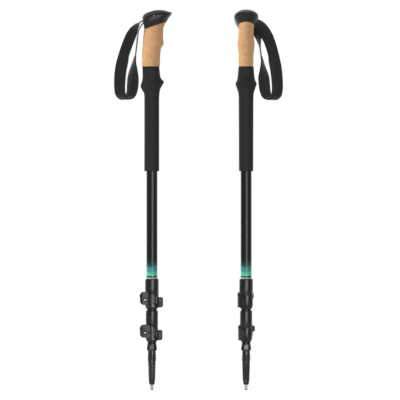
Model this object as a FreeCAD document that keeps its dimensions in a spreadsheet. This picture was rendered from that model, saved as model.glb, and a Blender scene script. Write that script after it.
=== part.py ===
"""A pair of telescopic trekking poles, collapsed and standing side by side on their tips.

Frame: +Z up, origin at the end of the left pole's carbide tip, on the pole's axis. The left pole's
beak points to +X. The right pole is the same pole, beside it at +X and turned about its own axis.
Each pole: a grip (head, cork, foam, wrist strap) on the upper tube, and two more tubes that slide
inside it, each held by a clamp with a cam lever and a tension dial, down to a plastic flex tip.
"""

import FreeCAD, Part
import os

import Sketcher

from FreeCAD import Placement, Rotation, Vector

doc = FreeCAD.newDocument("trekking_poles")

# ---------------------------------------------------------------- driving dimensions (millimetres)

SIZES = {
    # the pair
    "pole_spacing": (153.7, "between the two pole axes"),
    "right_turn": (-90, "degrees, the right pole about its own axis"),
    "right_upper_clamp_turn": (-13, "degrees, the clamp as it was pushed on the tube"),
    "right_lower_clamp_turn": (-20, "degrees"),
    # fits
    "press_gap": (0.05, "radial, pieces that are pushed together and stay"),
    "slide_gap": (0.1, "radial, pieces that slide or turn"),
    "side_gap": (0.15, "between flat faces that turn past each other"),
    # tubes
    "upper_tube_diameter": (18, "outside"),
    "tube_gap": (0.2, "radial, between a tube and the next one inside it"),
    "upper_tube_wall": (0.8, ""),
    "middle_tube_wall": (0.8, ""),
    "lower_tube_wall": (0.9, ""),
    "upper_tube_drop": (0.75, "top end, below the rim's middle"),
    "middle_tube_drop": (10, "top end, below the upper tube's, pole collapsed"),
    "lower_tube_drop": (14, "top end, below the middle tube's, pole collapsed"),
    "bush_flange": (3, "thickness of a bush's collar"),
    "bush_spigot": (10, "length of a bush inside its tube"),
    "bush_bore": (4.5, "radius of the hole through a bush"),
    # clamps
    "upper_clamp_bottom": (132.5, "height of the lower end"),
    "upper_clamp_length": (49.1, ""),
    "upper_sleeve_radius": (11.15, "outside"),
    "upper_seat": (25.5, "how far up the clamp the tube's end sits"),
    "lower_clamp_bottom": (79, "height of the lower end"),
    "lower_clamp_length": (51, ""),
    "lower_sleeve_radius": (10, "outside"),
    "lower_seat": (27, "how far up the clamp the tube's end sits"),
    "sleeve_foot_radius": (0.75, "wall left at the chamfered lower end of a sleeve"),
    "foot_chamfer": (5, "height of the lower chamfer"),
    "crown_chamfer": (1.6, "height and width of the upper chamfer"),
    "seam_height": (22.2, "groove round the sleeve, above its lower end"),
    "seam_width": (0.8, ""),
    "seam_depth": (0.4, ""),
    "slit_width": (2.4, "the sleeve's slit between its two ears"),
    "slit_top": (31, "top of the slit, above the lower end"),
    "relief_width": (0.4, "cross slit that frees the band below it"),
    "ear_low": (6.8, "above the clamp's lower end"),
    "ear_high": (28, "above the clamp's lower end"),
    "ear_reach": (19.6, "from the pole's axis"),
    "ear_half": (4.9, "outer face of an ear, from the middle plane"),
    "ear_round": (6.5, "corner radius of an ear"),
    "lever_low": (2.4, "the closed lever's lower edge, above the clamp's lower end"),
    "lever_tab_low": (3, "the finger tab's lower edge, above the clamp's lower end"),
    "lever_tab_high": (19.4, "the finger tab's upper edge, above the clamp's lower end"),
    "lever_bend_high": (21.5, "bend in the upper edge, above the clamp's lower end"),
    "lever_neck": (7.4, "where the lower edge leaves the ear, behind the axis"),
    "lever_throat": (3.5, "where the lower edge is down, behind the axis"),
    "lever_shoulder": (9.8, "where the upper edge starts down from the ear, behind the axis"),
    "lever_bend": (5.9, "bend in the upper edge, in front of the axis"),
    "lever_tab_start": (11.8, "where both edges run level, in front of the axis"),
    "lever_reach": (23.5, "beyond the finger tab's end, in front of the axis"),
    "ear_hole_radius": (1.3, "small hole through ears and lever"),
    "ear_hole_forward": (4, "from the bolt towards the pole"),
    "ear_hole_drop": (6, "below the bolt"),
    "bolt_back": (15.3, "bolt axis, from the pole's axis"),
    "bolt_height": (20.9, "above the clamp's lower end"),
    "bolt_radius": (1.5, "tension bolt"),
    "barrel_radius": (2.2, "barrel pin that the lever turns on"),
    "barrel_half": (6.4, "half the barrel pin's length"),
    "knuckle_radius": (3.9, "lever knuckle round the barrel pin"),
    "knuckle_slot": (2.3, "half height of the slot for the bolt in the knuckle"),
    "lever_gap": (0.4, "between the sleeve and the closed lever"),
    "lever_thickness": (2.8, ""),
    "flare_length": (11.3, "finger tab at the lever's free end"),
    "flare_angle": (58, "degrees, direction of the finger tab, from front to back"),
    "dial_radius": (5.1, "tension dial"),
    "dial_thickness": (3.6, ""),
    "bolt_recess": (0.5, "the bolt's end lies this far inside the dial"),
    # tip
    "tip_diameter": (4.7, "carbide tip"),
    "tip_length": (9, "below the plastic"),
    "tip_cup": (0.9, "depth of the hollow in the tip's end"),
    "stem_radius": (1.8, "stem of the tip inside the plastic"),
    "stem_length": (15, ""),
    "cone_length": (39.5, "tapered plastic shaft"),
    "cone_foot_radius": (4.25, ""),
    "cone_knee_radius": (5.4, ""),
    "cone_knee": (8, "height of the knee above the shaft's lower end"),
    "cone_head_radius": (6.45, ""),
    "thread_radius": (7.15, "basket thread"),
    "thread_length": (9.5, ""),
    "waist_length": (6, "between the thread and the skirt"),
    "skirt_flare": (2.5, "height over which the skirt widens"),
    "skirt_wall": (1.9, "round the lower tube, where the skirt is widest"),
    "skirt_top_wall": (0.5, "round the lower tube, at the skirt's upper end"),
    "skirt_length": (12, ""),
    "skirt_seat": (7, "depth of the lower tube in the skirt"),
    "spigot_length": (24, "plastic inside the lower tube"),
    # grip
    "core_wall": (0.95, "plastic core between the tube and the cork"),
    "core_drop": (6.75, "top end, below the rim's middle"),
    "foam_bottom": (357.2, "height"),
    "foam_top": (528, "height, where the cork starts"),
    "cork_stock": (80, "height of the cork before its top is trimmed along the rim"),
    "ridge_drop": (28.75, "middle of the ridge round the foam, below the foam's top"),
    "ridge_tilt": (9.6, "degrees, the ridge rises to the front"),
    "ridge_long": (19.45, "half length of the ridge, back to front"),
    "ridge_wide": (17.4, "half width of the ridge"),
    "ridge_forward": (0.6, "its middle, in front of the axis"),
    # head
    "rim_rise": (66.75, "middle of the head's rim, above the foam's top"),
    "rim_forward": (5.85, "the rim's middle, in front of the axis"),
    "rim_tilt": (17.7, "degrees, the rim rises to the front"),
    "seam_rise": (17.6, "cap seam above the rim, square to it"),
    "head_stock": (40, "depth of the blocks that part the head at its seam"),
    "cap_boss_radius": (4.6, "peg under the cap"),
    "cap_boss_rise": (8.25, "lower end of the peg, above the rim's middle"),
    "cross_pin_forward": (3.6, "pin that holds the cap's peg"),
    "cross_pin_rise": (7, "above the peg's lower end"),
    "cap_boss_over_pin": (4, "height of the peg above the pin, up into the cap"),
    "cross_pin_radius": (1, ""),
    "cross_pin_half": (18.6, "half its length"),
    # wrist strap
    "strap_pin_back": (9.5, "strap pin, behind the pole's axis"),
    "strap_pin_rise": (8.75, "above the rim's middle"),
    "strap_pin_radius": (1.6, ""),
    "strap_pin_half": (15, "half its length"),
    "strap_slot_half": (11.75, "half width of the slot in the head"),
    "strap_slot_radius": (6, "half height of the slot"),
    "anchor_radius": (3.4, "sewn end of the strap, round the pin"),
    "anchor_tail": (3.7, "from the pin back to the webbing"),
    "anchor_half": (10.5, "half its width"),
    "strap_droop": (32, "degrees, the sewn end slopes down to the back"),
    "strap_swing": (28, "degrees, how far the strap lifts before it meets the head"),
    "web_width": (20, ""),
    "web_thickness": (1.6, ""),
    "web_lift": (1.45, "webbing's middle above or below the pin, where it leaves the anchor"),
    "pad_width": (22, "lining"),
    "pad_thickness": (1.4, ""),
    "pad_gap": (0.05, "between webbing and lining"),
    "pad_drop": (57, "the lining starts this far below the strap pin"),
}

sheet = doc.addObject("Spreadsheet::Sheet", "sizes")
for line, (alias, (value, meaning)) in enumerate(SIZES.items(), start=1):
    sheet.set(f"A{line}", alias)
    sheet.set(f"B{line}", str(value))
    sheet.set(f"C{line}", meaning)
    sheet.setAlias(f"B{line}", alias)
doc.recompute()


def size(alias):
    """The value of one cell of the sheet."""
    return float(sheet.get(alias))


def named(text):
    """An expression with the sheet's name put before each alias in it."""
    out = ""
    word = ""
    for letter in text + " ":
        if letter.isalnum() or letter in "_.":
            word += letter
            continue
        out += f"sizes.{word}" if word in SIZES else word
        out += letter
        word = ""
    return out.strip()


def bind(feature, **expressions):
    """Bind properties of a feature to expressions of the sheet's aliases."""
    for name, expression in expressions.items():
        feature.setExpression(name.replace("__", "."), named(expression))


# ---------------------------------------------------------------- building blocks

ALONG = {
    "z": Rotation(),
    "y": Rotation(Vector(1, 0, 0), -90),
    "x": Rotation(Vector(0, 1, 0), 90),
}


def place(feature, x="0", y="0", z="0"):
    bind(feature, Placement__Base__x=x, Placement__Base__y=y, Placement__Base__z=z)


def cylinder(name, radius, height, x="0", y="0", z="0", along="z"):
    feature = doc.addObject("Part::Cylinder", name)
    feature.Placement.Rotation = ALONG[along]
    bind(feature, Radius=radius, Height=height)
    place(feature, x, y, z)
    return feature


def box(name, length, width, height, x, y, z):
    feature = doc.addObject("Part::Box", name)
    bind(feature, Length=length, Width=width, Height=height)
    place(feature, x, y, z)
    return feature


def cut(name, base, tool):
    feature = doc.addObject("Part::Cut", name)
    feature.Base = base
    feature.Tool = tool
    return feature


def cut_all(name, base, tools):
    for number, tool in enumerate(tools):
        base = cut(f"{name}_cut_{number}", base, tool)
    return base


def fuse(name, shapes):
    feature = doc.addObject("Part::MultiFuse", name)
    feature.Shapes = shapes
    feature.Refine = True
    return feature


def common(name, base, tool):
    feature = doc.addObject("Part::Common", name)
    feature.Base = base
    feature.Tool = tool
    return feature


def outline_sketch(body, name, plane, points):
    """A closed polygon on one of the body's origin planes, each corner bound to two expressions."""
    sketch = body.newObject("Sketcher::SketchObject", name)
    support = [f for f in body.Origin.OriginFeatures if f.Role == plane][0]
    sketch.AttachmentSupport = [(support, "")]
    sketch.MapMode = "FlatFace"
    corners = [(sheet_value(across), sheet_value(up)) for across, up in points]
    count = len(corners)
    for number in range(count):
        start = corners[number]
        end = corners[(number + 1) % count]
        line = Part.LineSegment(Vector(*start, 0), Vector(*end, 0))
        sketch.addGeometry(line, False)
    for number in range(count):
        sketch.addConstraint(Sketcher.Constraint("Coincident", number, 2, (number + 1) % count, 1))
    for number, (across, up) in enumerate(points):
        bound_distance(sketch, "DistanceX", number, across, corners[number][0])
        bound_distance(sketch, "DistanceY", number, up, corners[number][1])
    return sketch


def bound_distance(sketch, kind, corner, expression, value):
    """Hold one corner at a distance from the sketch's origin; a corner on an axis stays on it."""
    if expression == "0":
        axis = -2 if kind == "DistanceX" else -1
        sketch.addConstraint(Sketcher.Constraint("PointOnObject", corner, 1, axis))
        return
    index = sketch.addConstraint(Sketcher.Constraint(kind, -1, 1, corner, 1, value))
    sketch.setExpression(f"Constraints[{index}]", named(expression))


def sheet_value(expression):
    """The number that an expression of aliases gives now."""
    return float(sheet.evalExpression(expression))


def turned(name, points):
    """A body of revolution about the pole's axis: points are radius and height."""
    body = doc.addObject("PartDesign::Body", name)
    sketch = outline_sketch(body, f"{name}_profile", "XZ_Plane", points)
    turn = body.newObject("PartDesign::Revolution", f"{name}_turn")
    turn.Profile = sketch
    turn.ReferenceAxis = (sketch, ["V_Axis"])
    turn.Angle = 360
    return body


def plate(name, points, depth):
    """A polygon in the XZ plane, as thick as depth and centred on that plane."""
    body = doc.addObject("PartDesign::Body", name)
    sketch = outline_sketch(body, f"{name}_outline", "XZ_Plane", points)
    pad = body.newObject("PartDesign::Pad", f"{name}_pad")
    pad.Profile = sketch
    pad.Midplane = True
    bind(pad, Length=depth)
    return body


def oval(name, long_radius, wide_radius, x, z, tilt="0"):
    """An ellipse across the pole, longer from back to front, rising to the front by tilt."""
    feature = doc.addObject("Part::Ellipse", name)
    bind(feature, MajorRadius=long_radius, MinorRadius=wide_radius)
    place(feature, x=x, z=z)
    feature.Placement.Rotation = Rotation(Vector(0, 1, 0), -sheet_value(tilt))
    return feature


def loft(name, sections):
    feature = doc.addObject("Part::Loft", name)
    feature.Sections = sections
    feature.Solid = True
    feature.Ruled = True
    return feature


def round_edges(name, base, chosen, radius):
    """Fillet the edges of base that the function chosen picks."""
    doc.recompute()
    feature = doc.addObject("Part::Fillet", name)
    feature.Base = base
    picks = [n for n, edge in enumerate(base.Shape.Edges, start=1) if chosen(edge)]
    feature.Edges = [(number, radius, radius) for number in picks]
    return feature


finished = []


def finish(node, feature, turn=0, spot=(0, 0)):
    """Name a sub-part, and put it on its pole: turned about the axis, then moved across."""
    doc.recompute()
    feature.Label = node
    own = feature.Placement
    for axis in "xyz":
        feature.setExpression(f"Placement.Base.{axis}", None)
    feature.Placement = Placement(Vector(*spot, 0), Rotation(Vector(0, 0, 1), turn)) * own
    finished.append(feature)


# ---------------------------------------------------------------- tubes and bushes

# Each tube's outside is the bore of the tube around it, less the gap they slide with.
TUBE_RADIUS = {"upper": "upper_tube_diameter / 2"}
TUBE_RADIUS["middle"] = f"({TUBE_RADIUS['upper']} - upper_tube_wall - tube_gap)"
TUBE_RADIUS["lower"] = f"({TUBE_RADIUS['middle']} - middle_tube_wall - tube_gap)"

# The tops hang from the head's rim, which stands on the foam.
RIM_HEIGHT = "(foam_top + rim_rise)"
CORE_TOP = f"({RIM_HEIGHT} - core_drop)"
TUBE_TOP = {"upper": f"({RIM_HEIGHT} - upper_tube_drop)"}
TUBE_TOP["middle"] = f"({TUBE_TOP['upper']} - middle_tube_drop)"
TUBE_TOP["lower"] = f"({TUBE_TOP['middle']} - lower_tube_drop)"


def tube(name, prefix, bottom):
    length = f"{TUBE_TOP[prefix]} - ({bottom})"
    outer = cylinder(f"{name}_outside", TUBE_RADIUS[prefix], length, z=bottom)
    inner = cylinder(f"{name}_bore", f"{TUBE_RADIUS[prefix]} - {prefix}_tube_wall", length, z=bottom)
    return cut(name, outer, inner)


def bush(name, own, around):
    """A plastic bush in the top of one tube: its collar runs in the bore of the tube around it."""
    collar = f"{TUBE_RADIUS[around]} - {around}_tube_wall - slide_gap"
    spigot = f"{TUBE_RADIUS[own]} - {own}_tube_wall - press_gap"
    top = TUBE_TOP[own]
    return turned(name, [
        ("bush_bore", f"{top} - bush_spigot"),
        (spigot, f"{top} - bush_spigot"),
        (spigot, top),
        (collar, top),
        (collar, f"{top} + bush_flange"),
        ("bush_bore", f"{top} + bush_flange"),
    ])


# ---------------------------------------------------------------- clamps

def sleeve(name, level, seated, sliding):
    """The split sleeve: pushed on the seated tube from below, closing on the sliding tube."""
    bottom = f"{level}_clamp_bottom"
    top = f"{bottom} + {level}_clamp_length"
    outside = f"{level}_sleeve_radius"
    wide_bore = f"{TUBE_RADIUS[seated]} + press_gap"
    narrow_bore = f"{TUBE_RADIUS[sliding]} + slide_gap"
    seat = f"{bottom} + {level}_seat"
    shell = turned(f"{name}_shell", [
        (narrow_bore, bottom),
        (f"{narrow_bore} + sleeve_foot_radius", bottom),
        (outside, f"{bottom} + foot_chamfer"),
        (outside, f"{bottom} + seam_height"),
        (f"{outside} - seam_depth", f"{bottom} + seam_height"),
        (f"{outside} - seam_depth", f"{bottom} + seam_height + seam_width"),
        (outside, f"{bottom} + seam_height + seam_width"),
        (outside, f"{top} - crown_chamfer"),
        (f"{outside} - crown_chamfer / 2", top),
        (wide_bore, top),
        (wide_bore, seat),
        (narrow_bore, seat),
    ])
    ear = box(f"{name}_ear_block", f"ear_reach - ({narrow_bore})", "2 * ear_half",
              "ear_high - ear_low", "-ear_reach", "-ear_half", f"{bottom} + ear_low")
    back = -size("ear_reach")

    def outer_corner(edge):
        ends = [vertex.Point for vertex in edge.Vertexes]
        level_run = abs(ends[0].z - ends[1].z) < 1e-6 and abs(ends[0].x - ends[1].x) < 1e-6
        return level_run and abs(ends[0].x - back) < 1e-6

    ears = round_edges(f"{name}_ears", ear, outer_corner, size("ear_round"))
    body = fuse(f"{name}_body", [shell, ears])
    reach = "ear_reach + 1"
    tools = [
        cylinder(f"{name}_sliding_bore", narrow_bore, f"{level}_seat", z=bottom),
        cylinder(f"{name}_seat_bore", wide_bore, f"{level}_clamp_length - {level}_seat", z=seat),
        box(f"{name}_slit", reach, "slit_width", f"slit_top", f"-({reach})",
            "-slit_width / 2", bottom),
        box(f"{name}_relief", reach, f"4 * {outside}", "relief_width", f"-({reach}) - slit_width",
            f"-2 * {outside}", f"{bottom} + slit_top"),
        cylinder(f"{name}_bolt_hole", "bolt_radius + slide_gap", "4 * ear_half", "-bolt_back",
                 "-2 * ear_half", f"{bottom} + bolt_height", along="y"),
        ear_hole(f"{name}_ear_hole", bottom, outside),
    ]
    return cut_all(name, body, tools)


def ear_hole(name, bottom, outside):
    """The small hole that runs through both ears and the closed lever."""
    return cylinder(name, "ear_hole_radius", f"4 * {outside}", "ear_hole_forward - bolt_back",
                    f"-2 * {outside}", f"{bottom} + bolt_height - ear_hole_drop", along="y")


BARREL_SIDE = "-(ear_half + lever_gap / 2 + knuckle_radius)"


def barrel_pin(name, bottom):
    """The pin that the lever turns on, with a cross hole for the bolt."""
    pin = cylinder(f"{name}_rod", "barrel_radius", "2 * barrel_half", "-bolt_back", BARREL_SIDE,
                   f"{bottom} + bolt_height - barrel_half")
    hole = cylinder(f"{name}_hole", "bolt_radius + press_gap", "4 * barrel_radius", "-bolt_back",
                    f"{BARREL_SIDE} - 2 * barrel_radius", f"{bottom} + bolt_height", along="y")
    return cut(name, pin, hole)


def tension_bolt(name, bottom):
    """From the barrel pin, through both ears, into the dial."""
    start = f"{BARREL_SIDE} - barrel_radius"
    end = "ear_half + side_gap + dial_thickness - bolt_recess"
    return cylinder(name, "bolt_radius", f"{end} - ({start})", "-bolt_back", start,
                    f"{bottom} + bolt_height", along="y")


def tension_dial(name, bottom):
    """The thumb nut on the far ear."""
    disc = cylinder(f"{name}_disc", "dial_radius", "dial_thickness", "-bolt_back",
                    "ear_half + side_gap", f"{bottom} + bolt_height", along="y")
    hole = cylinder(f"{name}_hole", "bolt_radius + press_gap", "dial_thickness", "-bolt_back",
                    "ear_half + side_gap", f"{bottom} + bolt_height", along="y")
    return cut(name, disc, hole)


def lever(name, level):
    """The cam lever: a knuckle round the barrel pin, a band round the sleeve and a finger tab."""
    bottom = f"{level}_clamp_bottom"
    inside = f"{level}_sleeve_radius + lever_gap"
    outside = f"{inside} + lever_thickness"
    low = f"{bottom} + 2"
    rise = "ear_high"
    band_outer = cylinder(f"{name}_band_outside", outside, rise, z=low)
    band_inner = cylinder(f"{name}_band_inside", inside, rise, z=low)
    band = cut(f"{name}_band", band_outer, band_inner)
    front = box(f"{name}_front", f"2 * ({outside}) + bolt_back", f"2 * ({outside})", rise,
                "-bolt_back", f"-2 * ({outside}) - ({inside}) * cos(flare_angle)", low)
    front_band = common(f"{name}_front_band", band, front)
    cheek_block = box(f"{name}_cheek_block", "0.66 * bolt_back",
                      "2 * knuckle_radius", rise, "-bolt_back", f"{BARREL_SIDE} - knuckle_radius", low)
    cheek = cut(f"{name}_cheek", cheek_block, cylinder(f"{name}_cheek_room", inside, rise, z=low))
    knuckle = cylinder(f"{name}_knuckle", "knuckle_radius", rise, "-bolt_back", BARREL_SIDE, low)
    tab = box(f"{name}_tab", "flare_length", "lever_thickness", rise,
              f"({outside}) * sin(flare_angle)", f"-({outside}) * cos(flare_angle)", low)
    tab.Placement.Rotation = Rotation(Vector(0, 0, 1), size("flare_angle"))
    whole = fuse(f"{name}_whole", [front_band, cheek, knuckle, tab])
    side = plate(f"{name}_side", [
        ("-ear_reach", f"{bottom} + ear_low"),
        ("-lever_neck", f"{bottom} + ear_low"),
        ("-lever_throat", f"{bottom} + lever_low"),
        ("lever_tab_start", f"{bottom} + lever_low"),
        ("lever_reach", f"{bottom} + lever_tab_low"),
        ("lever_reach", f"{bottom} + lever_tab_high"),
        ("lever_tab_start", f"{bottom} + lever_tab_high"),
        ("lever_bend", f"{bottom} + lever_bend_high"),
        ("-lever_shoulder", f"{bottom} + ear_high"),
        ("-ear_reach", f"{bottom} + ear_high"),
    ], f"6 * ({outside})")
    shaped = common(f"{name}_shaped", whole, side)
    tools = [
        cylinder(f"{name}_eye", "barrel_radius + press_gap", rise, "-bolt_back", BARREL_SIDE, low),
        cylinder(f"{name}_bolt_slot", "knuckle_radius + slide_gap", "2 * knuckle_slot",
                 "-bolt_back", BARREL_SIDE, f"{bottom} + bolt_height - knuckle_slot"),
        box(f"{name}_bolt_room", "2 * knuckle_slot", "2 * knuckle_radius", "2 * knuckle_slot",
            "-bolt_back - knuckle_slot", BARREL_SIDE, f"{bottom} + bolt_height - knuckle_slot"),
        box(f"{name}_ear_room", "ear_reach", "4 * ear_half", rise, "-ear_reach - bolt_radius",
            "-ear_half - lever_gap / 2", low),
        ear_hole(f"{name}_ear_hole", bottom, outside),
    ]
    return cut_all(name, shaped, tools)


# ---------------------------------------------------------------- tip

CONE_FOOT = "tip_length"
THREAD_FOOT = f"{CONE_FOOT} + cone_length"
WAIST_FOOT = f"{THREAD_FOOT} + thread_length"
SKIRT_FOOT = f"{WAIST_FOOT} + waist_length"
SKIRT_TOP = f"{SKIRT_FOOT} + skirt_length"
LOWER_TUBE_BOTTOM = f"{SKIRT_TOP} - skirt_seat"


def carbide_tip(name):
    return turned(name, [
        ("0", "tip_cup"),
        ("tip_diameter / 2", "0"),
        ("tip_diameter / 2", "tip_length"),
        ("stem_radius", "tip_length"),
        ("stem_radius", "tip_length + stem_length"),
        ("0", "tip_length + stem_length"),
    ])


def flex_tip(name):
    """Tapered shaft, basket thread, waist, skirt round the lower tube, and a spigot inside it."""
    tube_outside = f"{TUBE_RADIUS['lower']} + press_gap"
    spigot = f"{TUBE_RADIUS['lower']} - lower_tube_wall - press_gap"
    stem_hole = "stem_radius + press_gap"
    stem_top = "tip_length + stem_length + slide_gap"
    return turned(name, [
        (stem_hole, CONE_FOOT),
        ("cone_foot_radius", CONE_FOOT),
        ("cone_knee_radius", f"{CONE_FOOT} + cone_knee"),
        ("cone_head_radius", THREAD_FOOT),
        ("thread_radius", THREAD_FOOT),
        ("thread_radius", WAIST_FOOT),
        ("cone_head_radius", WAIST_FOOT),
        ("cone_head_radius", SKIRT_FOOT),
        (f"{TUBE_RADIUS['lower']} + skirt_wall", f"{SKIRT_FOOT} + skirt_flare"),
        (f"{TUBE_RADIUS['lower']} + skirt_top_wall", SKIRT_TOP),
        (tube_outside, SKIRT_TOP),
        (tube_outside, LOWER_TUBE_BOTTOM),
        (spigot, LOWER_TUBE_BOTTOM),
        (spigot, f"{LOWER_TUBE_BOTTOM} + spigot_length"),
        ("0", f"{LOWER_TUBE_BOTTOM} + spigot_length"),
        ("0", stem_top),
        (stem_hole, stem_top),
    ])


# ---------------------------------------------------------------- grip

RIDGE_HEIGHT = "foam_top - ridge_drop"
BOSS_BOTTOM = f"{RIM_HEIGHT} + cap_boss_rise"
CROSS_PIN_HEIGHT = f"{BOSS_BOTTOM} + cross_pin_rise"
STRAP_PIN_HEIGHT = f"{RIM_HEIGHT} + strap_pin_rise"


def bored(name, outside, radius, bottom, top):
    bore = cylinder(f"{name}_bore", radius, f"{top} - ({bottom})", z=bottom)
    return cut(name, outside, bore)


def foam_grip(name):
    """The foam sleeve: slim below, a tilted ridge under the hand, then up to the cork."""
    below = [
        oval(f"{name}_foot", "12.15", "11.6", "-0.25", "foam_bottom"),
        oval(f"{name}_shaft", "12.1", "12.05", "-0.2", f"{RIDGE_HEIGHT} - 24"),
        oval(f"{name}_neck", "12.5", "12.45", "-0.15", f"{RIDGE_HEIGHT} - 16"),
        oval(f"{name}_swell", "14.6", "14.2", "-0.9", f"{RIDGE_HEIGHT} - 9.2", "ridge_tilt / 2"),
    ]
    above = [
        oval(f"{name}_shoulder", "14.5", "13.7", "-0.75", f"{RIDGE_HEIGHT} + 12.8"),
        oval(f"{name}_top", "13.8", "12.2", "-1.75", "foam_top"),
    ]
    ridge = oval(f"{name}_ridge", "ridge_long", "ridge_wide", "ridge_forward", RIDGE_HEIGHT,
                 "ridge_tilt")
    slim = loft(f"{name}_slim", below[:2])
    swell = loft(f"{name}_swelling", below[1:] + [ridge])
    shoulder = loft(f"{name}_shoulders", [ridge] + above)
    outside = fuse(f"{name}_outside", [slim, swell, shoulder])
    return bored(name, outside, "upper_tube_diameter / 2 + press_gap", "foam_bottom", "foam_top")


def rim_frame(rise=0.0):
    """The tilted frame at the middle of the rim, raised square to it."""
    turn = Rotation(Vector(0, 1, 0), -size("rim_tilt"))
    middle = Vector(size("rim_forward"), 0, sheet_value(RIM_HEIGHT))
    return Placement(middle + turn.multVec(Vector(0, 0, rise)), turn)


def rim_block(name, rise, height):
    """A wide block on the rim's tilted plane, or below it with a negative height."""
    feature = doc.addObject("Part::Box", name)
    width = 6 * size("ridge_long")
    feature.Length = width
    feature.Width = width
    feature.Height = abs(height)
    low = min(height, 0)
    feature.Placement = rim_frame(rise) * Placement(Vector(-width / 2, -width / 2, low), Rotation())
    return feature


def cork_grip(name):
    """Cork from the foam to the head's rim: a finger swell in front, flaring under the beak."""
    rows = [
        # height from the foam, back, front, half width
        (0, -16, 13, 11.9),
        (17, -16, 13.5, 12.1),
        (29, -15.4, 14.8, 13.3),
        (37.5, -14.8, 19.2, 13.9),
        (46, -14.2, 18.4, 12.8),
        (59, -12.8, 18.4, 12.2),
        (70, -12.2, 21.6, 12.9),
        (size("cork_stock"), -12, 25.6, 13.6),
    ]
    sections = []
    for number, (up, back, front, half) in enumerate(rows):
        sections.append(oval(f"{name}_section_{number}", f"({front} - {back}) / 2", f"{half}",
                             f"({front} + {back}) / 2", f"foam_top + {up}"))
    solid = loft(f"{name}_outside", sections)
    trimmed = cut(f"{name}_trimmed", solid, rim_block(f"{name}_above_rim", 0, size("cork_stock")))
    core = "upper_tube_diameter / 2 + press_gap + core_wall + press_gap"
    return bored(name, trimmed, core, "foam_top", "foam_top + cork_stock")


def grip_core(name):
    inside = "upper_tube_diameter / 2 + press_gap"
    return turned(name, [
        (inside, "foam_top"),
        (f"{inside} + core_wall", "foam_top"),
        (f"{inside} + core_wall", CORE_TOP),
        (inside, CORE_TOP),
    ])


# ---------------------------------------------------------------- head

def head_solid(name):
    """The whole palm rest: ovals stacked square to the rim, reaching out to the beak."""
    rows = [
        # rise from the rim, back, front, half width
        (0, -18.85, 18.85, 13.5),
        (5, -18.6, 24, 17),
        (9, -18.4, 29.6, 19.2),
        (11.8, -18.2, 31.9, 19.9),
        (14.4, -17.9, 29, 19.8),
        (17.6, -17, 24.2, 18.4),
        (20.8, -15.2, 18.2, 14.6),
        (23.2, -11.9, 11.6, 9.8),
        (24.6, -7.4, 5.8, 5),
    ]
    sections = []
    for number, (rise, back, front, half) in enumerate(rows):
        section = doc.addObject("Part::Ellipse", f"{name}_section_{number}")
        section.MajorRadius = (front - back) / 2
        section.MinorRadius = half
        middle = Placement(Vector((front + back) / 2, 0, 0), Rotation())
        section.Placement = rim_frame(rise) * middle
        sections.append(section)
    return loft(name, sections)


def cap_peg(name, gap):
    return cylinder(name, f"cap_boss_radius + {gap}", "cross_pin_rise + cap_boss_over_pin",
                    "cross_pin_forward", "0", f"{BOSS_BOTTOM} - {gap}")


def cross_pin_rod(name, gap, half):
    return cylinder(name, f"cross_pin_radius + {gap}", f"2 * ({half})", "cross_pin_forward",
                    f"-({half})", CROSS_PIN_HEIGHT, along="y")


def head_cap(name):
    """The textured palm cap, with a peg down into the shell."""
    crown = common(f"{name}_crown", head_solid(f"{name}_solid"),
                   rim_block(f"{name}_above_seam", size("seam_rise"), size("head_stock")))
    whole = fuse(f"{name}_whole", [crown, cap_peg(f"{name}_peg", "0")])
    return cut(name, whole, cross_pin_rod(f"{name}_pin_hole", "press_gap", "cross_pin_half + 5"))


def slot_mouth(name):
    """The slot's way out to the back, a fan wide enough for the strap's sewn end as it lifts."""
    back, level = "-strap_pin_back", STRAP_PIN_HEIGHT
    hanging, lifted = "strap_droop", "(strap_droop - strap_swing)"
    reach = "3 * strap_slot_radius"
    under = (f"{back} + strap_slot_radius * sin({hanging})",
             f"{level} - strap_slot_radius * cos({hanging})")
    over = (f"{back} - strap_slot_radius * sin({lifted})",
            f"{level} + strap_slot_radius * cos({lifted})")
    return plate(name, [
        under,
        (f"{under[0]} - {reach} * cos({hanging})", f"{under[1]} - {reach} * sin({hanging})"),
        (f"{over[0]} - {reach} * cos({lifted})", f"{over[1]} - {reach} * sin({lifted})"),
        over,
    ], "2 * strap_slot_half")


def head_shell(name):
    """The lower part of the head: socket for the tube, slot and pin hole for the strap."""
    base = common(f"{name}_base", head_solid(f"{name}_solid"),
                  rim_block(f"{name}_below_seam", size("seam_rise"), -size("head_stock")))
    collar = turned(f"{name}_collar", [
        ("upper_tube_diameter / 2 + press_gap", f"{CORE_TOP} + slide_gap"),
        ("upper_tube_diameter / 2 + press_gap + core_wall", f"{CORE_TOP} + slide_gap"),
        ("upper_tube_diameter / 2 + press_gap + core_wall", BOSS_BOTTOM),
        ("upper_tube_diameter / 2 + press_gap", BOSS_BOTTOM),
    ])
    body = fuse(f"{name}_body", [base, collar])
    slot_length = "2 * strap_slot_half"
    tools = [
        cylinder(f"{name}_socket", "upper_tube_diameter / 2 + press_gap",
                 f"{TUBE_TOP['upper']} + slide_gap - {CORE_TOP}", z=CORE_TOP),
        cylinder(f"{name}_slot_end", "strap_slot_radius", slot_length, "-strap_pin_back",
                 "-strap_slot_half", STRAP_PIN_HEIGHT, along="y"),
        slot_mouth(f"{name}_slot_mouth"),
        cylinder(f"{name}_pin_hole", "strap_pin_radius + press_gap", "2 * strap_pin_half",
                 "-strap_pin_back", "-strap_pin_half", STRAP_PIN_HEIGHT, along="y"),
        cap_peg(f"{name}_peg_hole", "press_gap"),
        cross_pin_rod(f"{name}_cross_hole", "press_gap", "cross_pin_half + 5"),
    ]
    return cut_all(name, body, tools)


# ---------------------------------------------------------------- wrist strap

def strap_pin_middle():
    return Vector(-size("strap_pin_back"), 0, sheet_value(STRAP_PIN_HEIGHT))


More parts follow.
